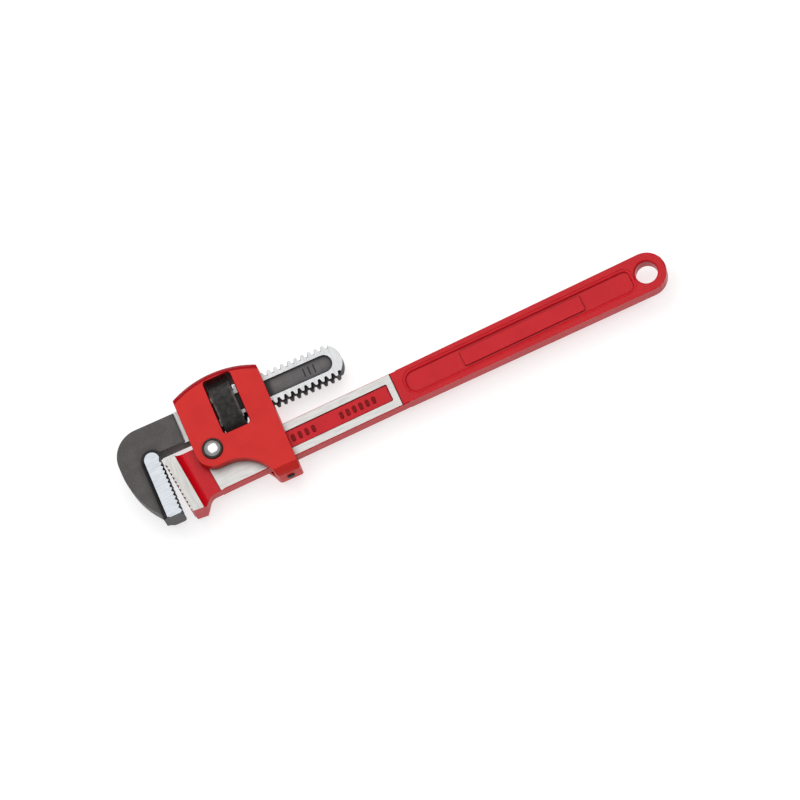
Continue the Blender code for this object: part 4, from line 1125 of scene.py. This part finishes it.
neck = [
    (-20.9, -NECK_HALF + 1.4), (HOOK_SHOULDER - 0.01, -NECK_HALF), (THREAD_START + 0.4, -NECK_HALF),
    (THREAD_START + 0.4, NECK_HALF), (HOOK_SHOULDER - 0.01, NECK_HALF), (-20.9, NECK_HALF - 1.4),
]
work(thread, slab("neck_block", neck, -9.0, 18.0, THREAD_BLACK), "UNION")
work(shank, thread, "INTERSECT")
work(hook, shank, "UNION")
smooth(hook, 30.0)
settle(hook, place=on_frame(0.0, SHANK_Y), turn=(0.0, 0.0, FRAME_TILT), size=MM)
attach(hook, "hook_body")
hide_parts("hook_jaw")

# ---- Adjusting nut ----
# A blackened steel ring, diamond knurled outside and threaded inside, that
# runs on the shank's thread between the window's two walls.
NUT_RADIUS = 18.5
NUT_HALF = 7.95
NUT_CHAMFER = 0.8
NUT_MIDDLE = 20.55      # from the pivot, along the shank
KNURLS = 84             # diamonds round the nut
KNURL_ROWS = 10
KNURL_DEPTH = 0.42
NUT_PLAY = 0.3          # round the shank's thread
SINK_TURN = 6.1         # keeps the countersink's facets off the thread's


def knurled_black(name):
    """Black oxide whose knurl points have rubbed to bare grey steel, with painted shade in the
    valleys.
    """
    finish = Finish(name)
    oil = finish.grain(3.0, 3.0)
    grit = finish.grain(0.5, 2.0)
    points = finish.add("ShaderNodeNewGeometry", out="Pointiness").above(0.49, 0.57)
    colour = finish.mix(oil.above(0.35, 0.7), (0.030, 0.027, 0.025), (0.050, 0.045, 0.042))
    colour = finish.mix(points * (0.45 + 0.5 * oil.above(0.3, 0.7)), colour, (0.34, 0.33, 0.32))
    # painted shade: the knurl's valleys darken to near black
    colour = finish.mix(1.0 - finish.hollows(1.0), colour, (0.003, 0.003, 0.003))
    return finish.surface(
        Base_Color=colour,
        Metallic=0.55,
        Roughness=0.36 + 0.2 * oil,
        Normal=finish.bump(grit, 0.02),
        Specular_IOR_Level=0.4,
    )


NUT_BLACK = knurled_black("knurled_black")
knurl_half = NUT_HALF - NUT_CHAMFER
put_down()
bpy.ops.mesh.primitive_cylinder_add(
    vertices=KNURLS, radius=NUT_RADIUS - KNURL_DEPTH, depth=2.0 * knurl_half,
    end_fill_type="NGON",
)
nut = bpy.context.object
nut.name = "wrench_nut"
bpy.ops.object.mode_set(mode="EDIT")
pick("EDGE", lambda a, b: abs(a.z - b.z) > knurl_half)
bpy.ops.mesh.subdivide(number_cuts=KNURL_ROWS - 1)
pick("FACE", lambda c, n: abs(n.z) < 0.5)
bpy.ops.mesh.poke(offset=0.0)
row = 2.0 * knurl_half / KNURL_ROWS


def on_grid(a, b):
    """The first grid's edges, apart from the two rims, which the diamonds replace."""
    upright = abs(abs(a.z - b.z) - row) < 0.01
    return upright or (level(a, b) and abs(a.z) < knurl_half - 0.01)


pick("EDGE", on_grid)
bpy.ops.mesh.dissolve_edges(use_verts=False)
pick("FACE", lambda c, n: abs(n.z) < 0.5)
bpy.ops.mesh.poke(offset=KNURL_DEPTH, use_relative_offset=False)
for end in (1.0, -1.0):
    pick("FACE", lambda c, n: n.z * end > 0.9)
    push(0.0, 0.0, end * NUT_CHAMFER)
    shrink = (NUT_RADIUS - 1.5 * NUT_CHAMFER) / (NUT_RADIUS - KNURL_DEPTH)
    bpy.ops.transform.resize(value=(shrink, shrink, 1.0), center_override=(0.0, 0.0, 0.0))
wearing(NUT_BLACK)
settle(nut, turn=(0.0, 90.0, 0.0))
for end in (1.0, -1.0):
    sink = turn_profile("countersink", [
        (0.0, NUT_HALF - 3.2), (THREAD_RADIUS - 2.85, NUT_HALF - 3.2),
        (THREAD_RADIUS + 0.55, NUT_HALF + 0.01), (THREAD_RADIUS + 1.55, NUT_HALF + 2.0),
        (0.0, NUT_HALF + 2.0),
    ], 60)
    wearing(NUT_BLACK)
    work(nut, settle(sink, turn=(SINK_TURN, 90.0 * end, 0.0)))
bore = screw("nut_thread", 7, -3.0 * THREAD_PITCH, NUT_PLAY)
settle(bore, place=(round(NUT_MIDDLE / THREAD_PITCH) * THREAD_PITCH - NUT_MIDDLE, 0.0, 0.0))
work(nut, bore)
smooth(nut, 24.0)
settle(nut, place=on_frame(NUT_MIDDLE, SHANK_Y), turn=(0.0, 0.0, FRAME_TILT), size=MM)
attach(nut, "nut_body")
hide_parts("adjusting_nut")

# ---- Pivot rivet ----
# A turned steel rivet through both side plates and the handle, its two domed
# heads polished, each in a rim coloured black as painted shade.
RIVET_RADIUS = 4.6
RIVET_HEAD_RADIUS = 7.25
RIVET_DOME_RADIUS = 5.7
RIVET_TOP = 17.9
DOME_ANGLE = math.radians(62.0)
DOME_RISE = 1.75


def polished(name, colour, dark, roughness):
    """Turned and polished steel: faint rings, and a smoky film in places."""
    finish = Finish(name)
    film = finish.grain(2.6, 3.0)
    hair = finish.grain(0.35, 2.0)
    return finish.surface(
        Base_Color=finish.mix(film.above(0.45, 0.75) * 0.5, colour, dark),
        Metallic=1.0,
        Roughness=roughness + 0.10 * film,
        Normal=finish.bump(hair + 0.8 * film, 0.03),
    )


RIVET_BRIGHT = polished("rivet_bright", (0.80, 0.80, 0.79), (0.45, 0.45, 0.45), 0.2)
# Black on each head's rim is painted shade, standing for the dark ring a polished dome's edge
# shows.
RIVET_SHADE_RIM = black_forging(
    "rivet_painted_shade_rim", (0.035, 0.030, 0.028), (0.06, 0.052, 0.048), (0.20, 0.19, 0.18)
)

dome = [(0.0, RIVET_TOP)]
for s in range(1, 11):
    a = DOME_ANGLE * s / 10
    dome.append((
        RIVET_DOME_RADIUS * math.sin(a) / math.sin(DOME_ANGLE),
        RIVET_TOP - DOME_RISE * (1.0 - math.cos(a)) / (1.0 - math.cos(DOME_ANGLE)),
    ))
dome += [(RIVET_DOME_RADIUS + 0.25, 15.95), (RIVET_DOME_RADIUS + 0.55, 15.95), (6.55, 16.30)]
dome += [(6.95, 16.22), (RIVET_HEAD_RADIUS, 15.85), (RIVET_HEAD_RADIUS, 15.3), (RIVET_RADIUS, 15.3)]
dome += [(radius, -height) for radius, height in dome[::-1]]
rivet = turn_profile("wrench_pivot_rivet", dome, 64)
wearing(RIVET_BRIGHT)
rivet.data.materials.append(RIVET_SHADE_RIM)
bpy.ops.object.mode_set(mode="EDIT")
pick("FACE", lambda c, n: math.hypot(c.x, c.y) > RIVET_DOME_RADIUS + 0.05)
rivet.active_material_index = 1
bpy.ops.object.material_slot_assign()
smooth(rivet, 40.0)
settle(rivet, place=PIVOT, turn=(0.0, 0.0, FRAME_TILT), size=MM)
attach(rivet, "frame_body")
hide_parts("pivot_rivet")

# ---- Leaf springs ----
# Two bowed strips of tempered steel.  One lies in the saddle under the
# handle and one in a pocket over the shank; each is riveted at its middle.
SPRING_HALF_WIDTH = 4.6
SPRING_THICKNESS = 0.9
SPRING_FLAT = 3.15      # half length of the flat that its rivet's head lies on
SPRING_CORNER = 1.6
SPRING_PLAY = 0.3       # between a spring and its seat
SADDLE_SPRING = (7.4, 3.02)      # half length, rise of its ends
TOP_SPRING = (8.6, 1.7)


def tempered(name):
    """Straw to blue temper colours that drift along the strip."""
    finish = Finish(name)
    drift = finish.grain(5.0, 2.0)
    lines = finish.grain(1.0, 3.0, finish.place((0.2, 1.0, 2.0)))
    colour = finish.mix(drift.above(0.35, 0.7), (0.13, 0.15, 0.21), (0.26, 0.21, 0.17))
    colour = finish.mix(finish.edges(0.3) * 0.5, colour, (0.42, 0.42, 0.43))
    return finish.surface(
        Base_Color=colour,
        Metallic=0.9,
        Roughness=0.28 + 0.15 * lines,
        Normal=finish.bump(lines, 0.02),
    )


SPRING_STEEL = tempered("spring_steel_blue")


def leaf(name, half_length, rise):
    """A strip drawn from its side, with round corners and a hole at its middle."""
    outer, inner = [], []
    for s in range(-12, 13):
        x = half_length * s / 12
        free = max(0.0, abs(x) - SPRING_FLAT) / (half_length - SPRING_FLAT)
        outer.append((x, rise * free ** 1.5))
        inner.append((x, rise * free ** 1.5 + SPRING_THICKNESS))
    side = outer + inner[::-1]
    strip = slab(name, side, -SPRING_HALF_WIDTH, 2.0 * SPRING_HALF_WIDTH, SPRING_STEEL)
    pick("EDGE", lambda a, b: level(a, b) and min(abs(a.x), abs(b.x)) > half_length - 0.1)
    bpy.ops.mesh.bevel(offset=SPRING_CORNER, segments=5)
    put_down()
    bpy.ops.mesh.primitive_cylinder_add(
        vertices=32, radius=SPRING_RIVET_HOLE, depth=8.0, rotation=(math.radians(90.0), 0.0, 0.0)
    )
    work(strip, wearing(SPRING_STEEL))
    break_edges(strip, 0.12, 50.0, 1)
    smooth(strip, 40.0)
    return strip


def seat_on_frame(piece, x, y, turn, body, node):
    """Takes a small part to its place on the tilted frame."""
    settle(piece, turn=turn)
    settle(piece, place=on_frame(x, y), turn=(0.0, 0.0, FRAME_TILT), size=MM)
    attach(piece, body)
    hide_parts(node)


saddle = leaf("wrench_saddle_spring", *SADDLE_SPRING)
seat = LUG_BOTTOM + LUG_FLOOR + SPRING_PLAY
seat_on_frame(
    saddle, SPRING_X, seat, (0.0, 0.0, 0.0), "frame_body", "frame_spring"
)
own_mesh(saddle)
top = leaf("wrench_top_spring", *TOP_SPRING)
seat = TOP_POCKET[3] - SPRING_PLAY
seat_on_frame(
    top, JAW_SPRING_X, seat, (180.0, 0.0, 0.0), "frame_body", "jaw_spring"
)

# ---- Spring rivets ----
# Two small blackened steel rivets that hold the springs, each with a domed
# head outside and a flat one inside.
SMALL_RIVET_RADIUS = 1.3
SMALL_HEAD_RADIUS = 2.75
HEAD_PLAY = 0.3         # under each head
PAST_SPRING = 1.2       # a grip's share for the spring and its play
TOP_WALL = 48.31
SMALL_RIVET_BLACK = black_forging(
    "small_rivet_black", (0.020, 0.020, 0.021), (0.040, 0.038, 0.038), (0.16, 0.155, 0.15)
)


def small_rivet(name, grip, outer_height, inner_height):
    """A rivet about Z, with its domed head below 0 and its flat head above the grip."""
    profile = []
    for s in range(8):
        a = 0.5 * math.pi * s / 7
        height = outer_height * (0.12 + 0.88 * math.cos(a))
        profile.append((SMALL_HEAD_RADIUS * math.sin(a), -HEAD_PLAY - height))
    inside = grip + HEAD_PLAY
    profile += [(SMALL_HEAD_RADIUS, -HEAD_PLAY), (SMALL_RIVET_RADIUS, -HEAD_PLAY)]
    profile += [(SMALL_RIVET_RADIUS, inside)]
    top_radius = SMALL_HEAD_RADIUS - 0.5
    profile += [(top_radius, inside), (top_radius, inside + 0.6 * inner_height)]
    profile += [(top_radius - 0.4, inside + inner_height), (0.0, inside + inner_height)]
    piece = turn_profile(name, profile, 40)
    wearing(SMALL_RIVET_BLACK)
    smooth(piece, 40.0)
    return piece


low_rivet = small_rivet("wrench_saddle_rivet", LUG_FLOOR + PAST_SPRING, 1.3, 0.6)
seat_on_frame(
    low_rivet, SPRING_X, LUG_BOTTOM, (-90.0, 0.0, 0.0),
    "frame_body", "frame_spring_rivet",
)
high_rivet = small_rivet("wrench_top_rivet", TOP_WALL - TOP_POCKET[3] + PAST_SPRING, 0.9, 0.5)
seat_on_frame(
    high_rivet, JAW_SPRING_X, TOP_WALL, (90.0, 0.0, 0.0),
    "frame_body", "jaw_spring_rivet",
)
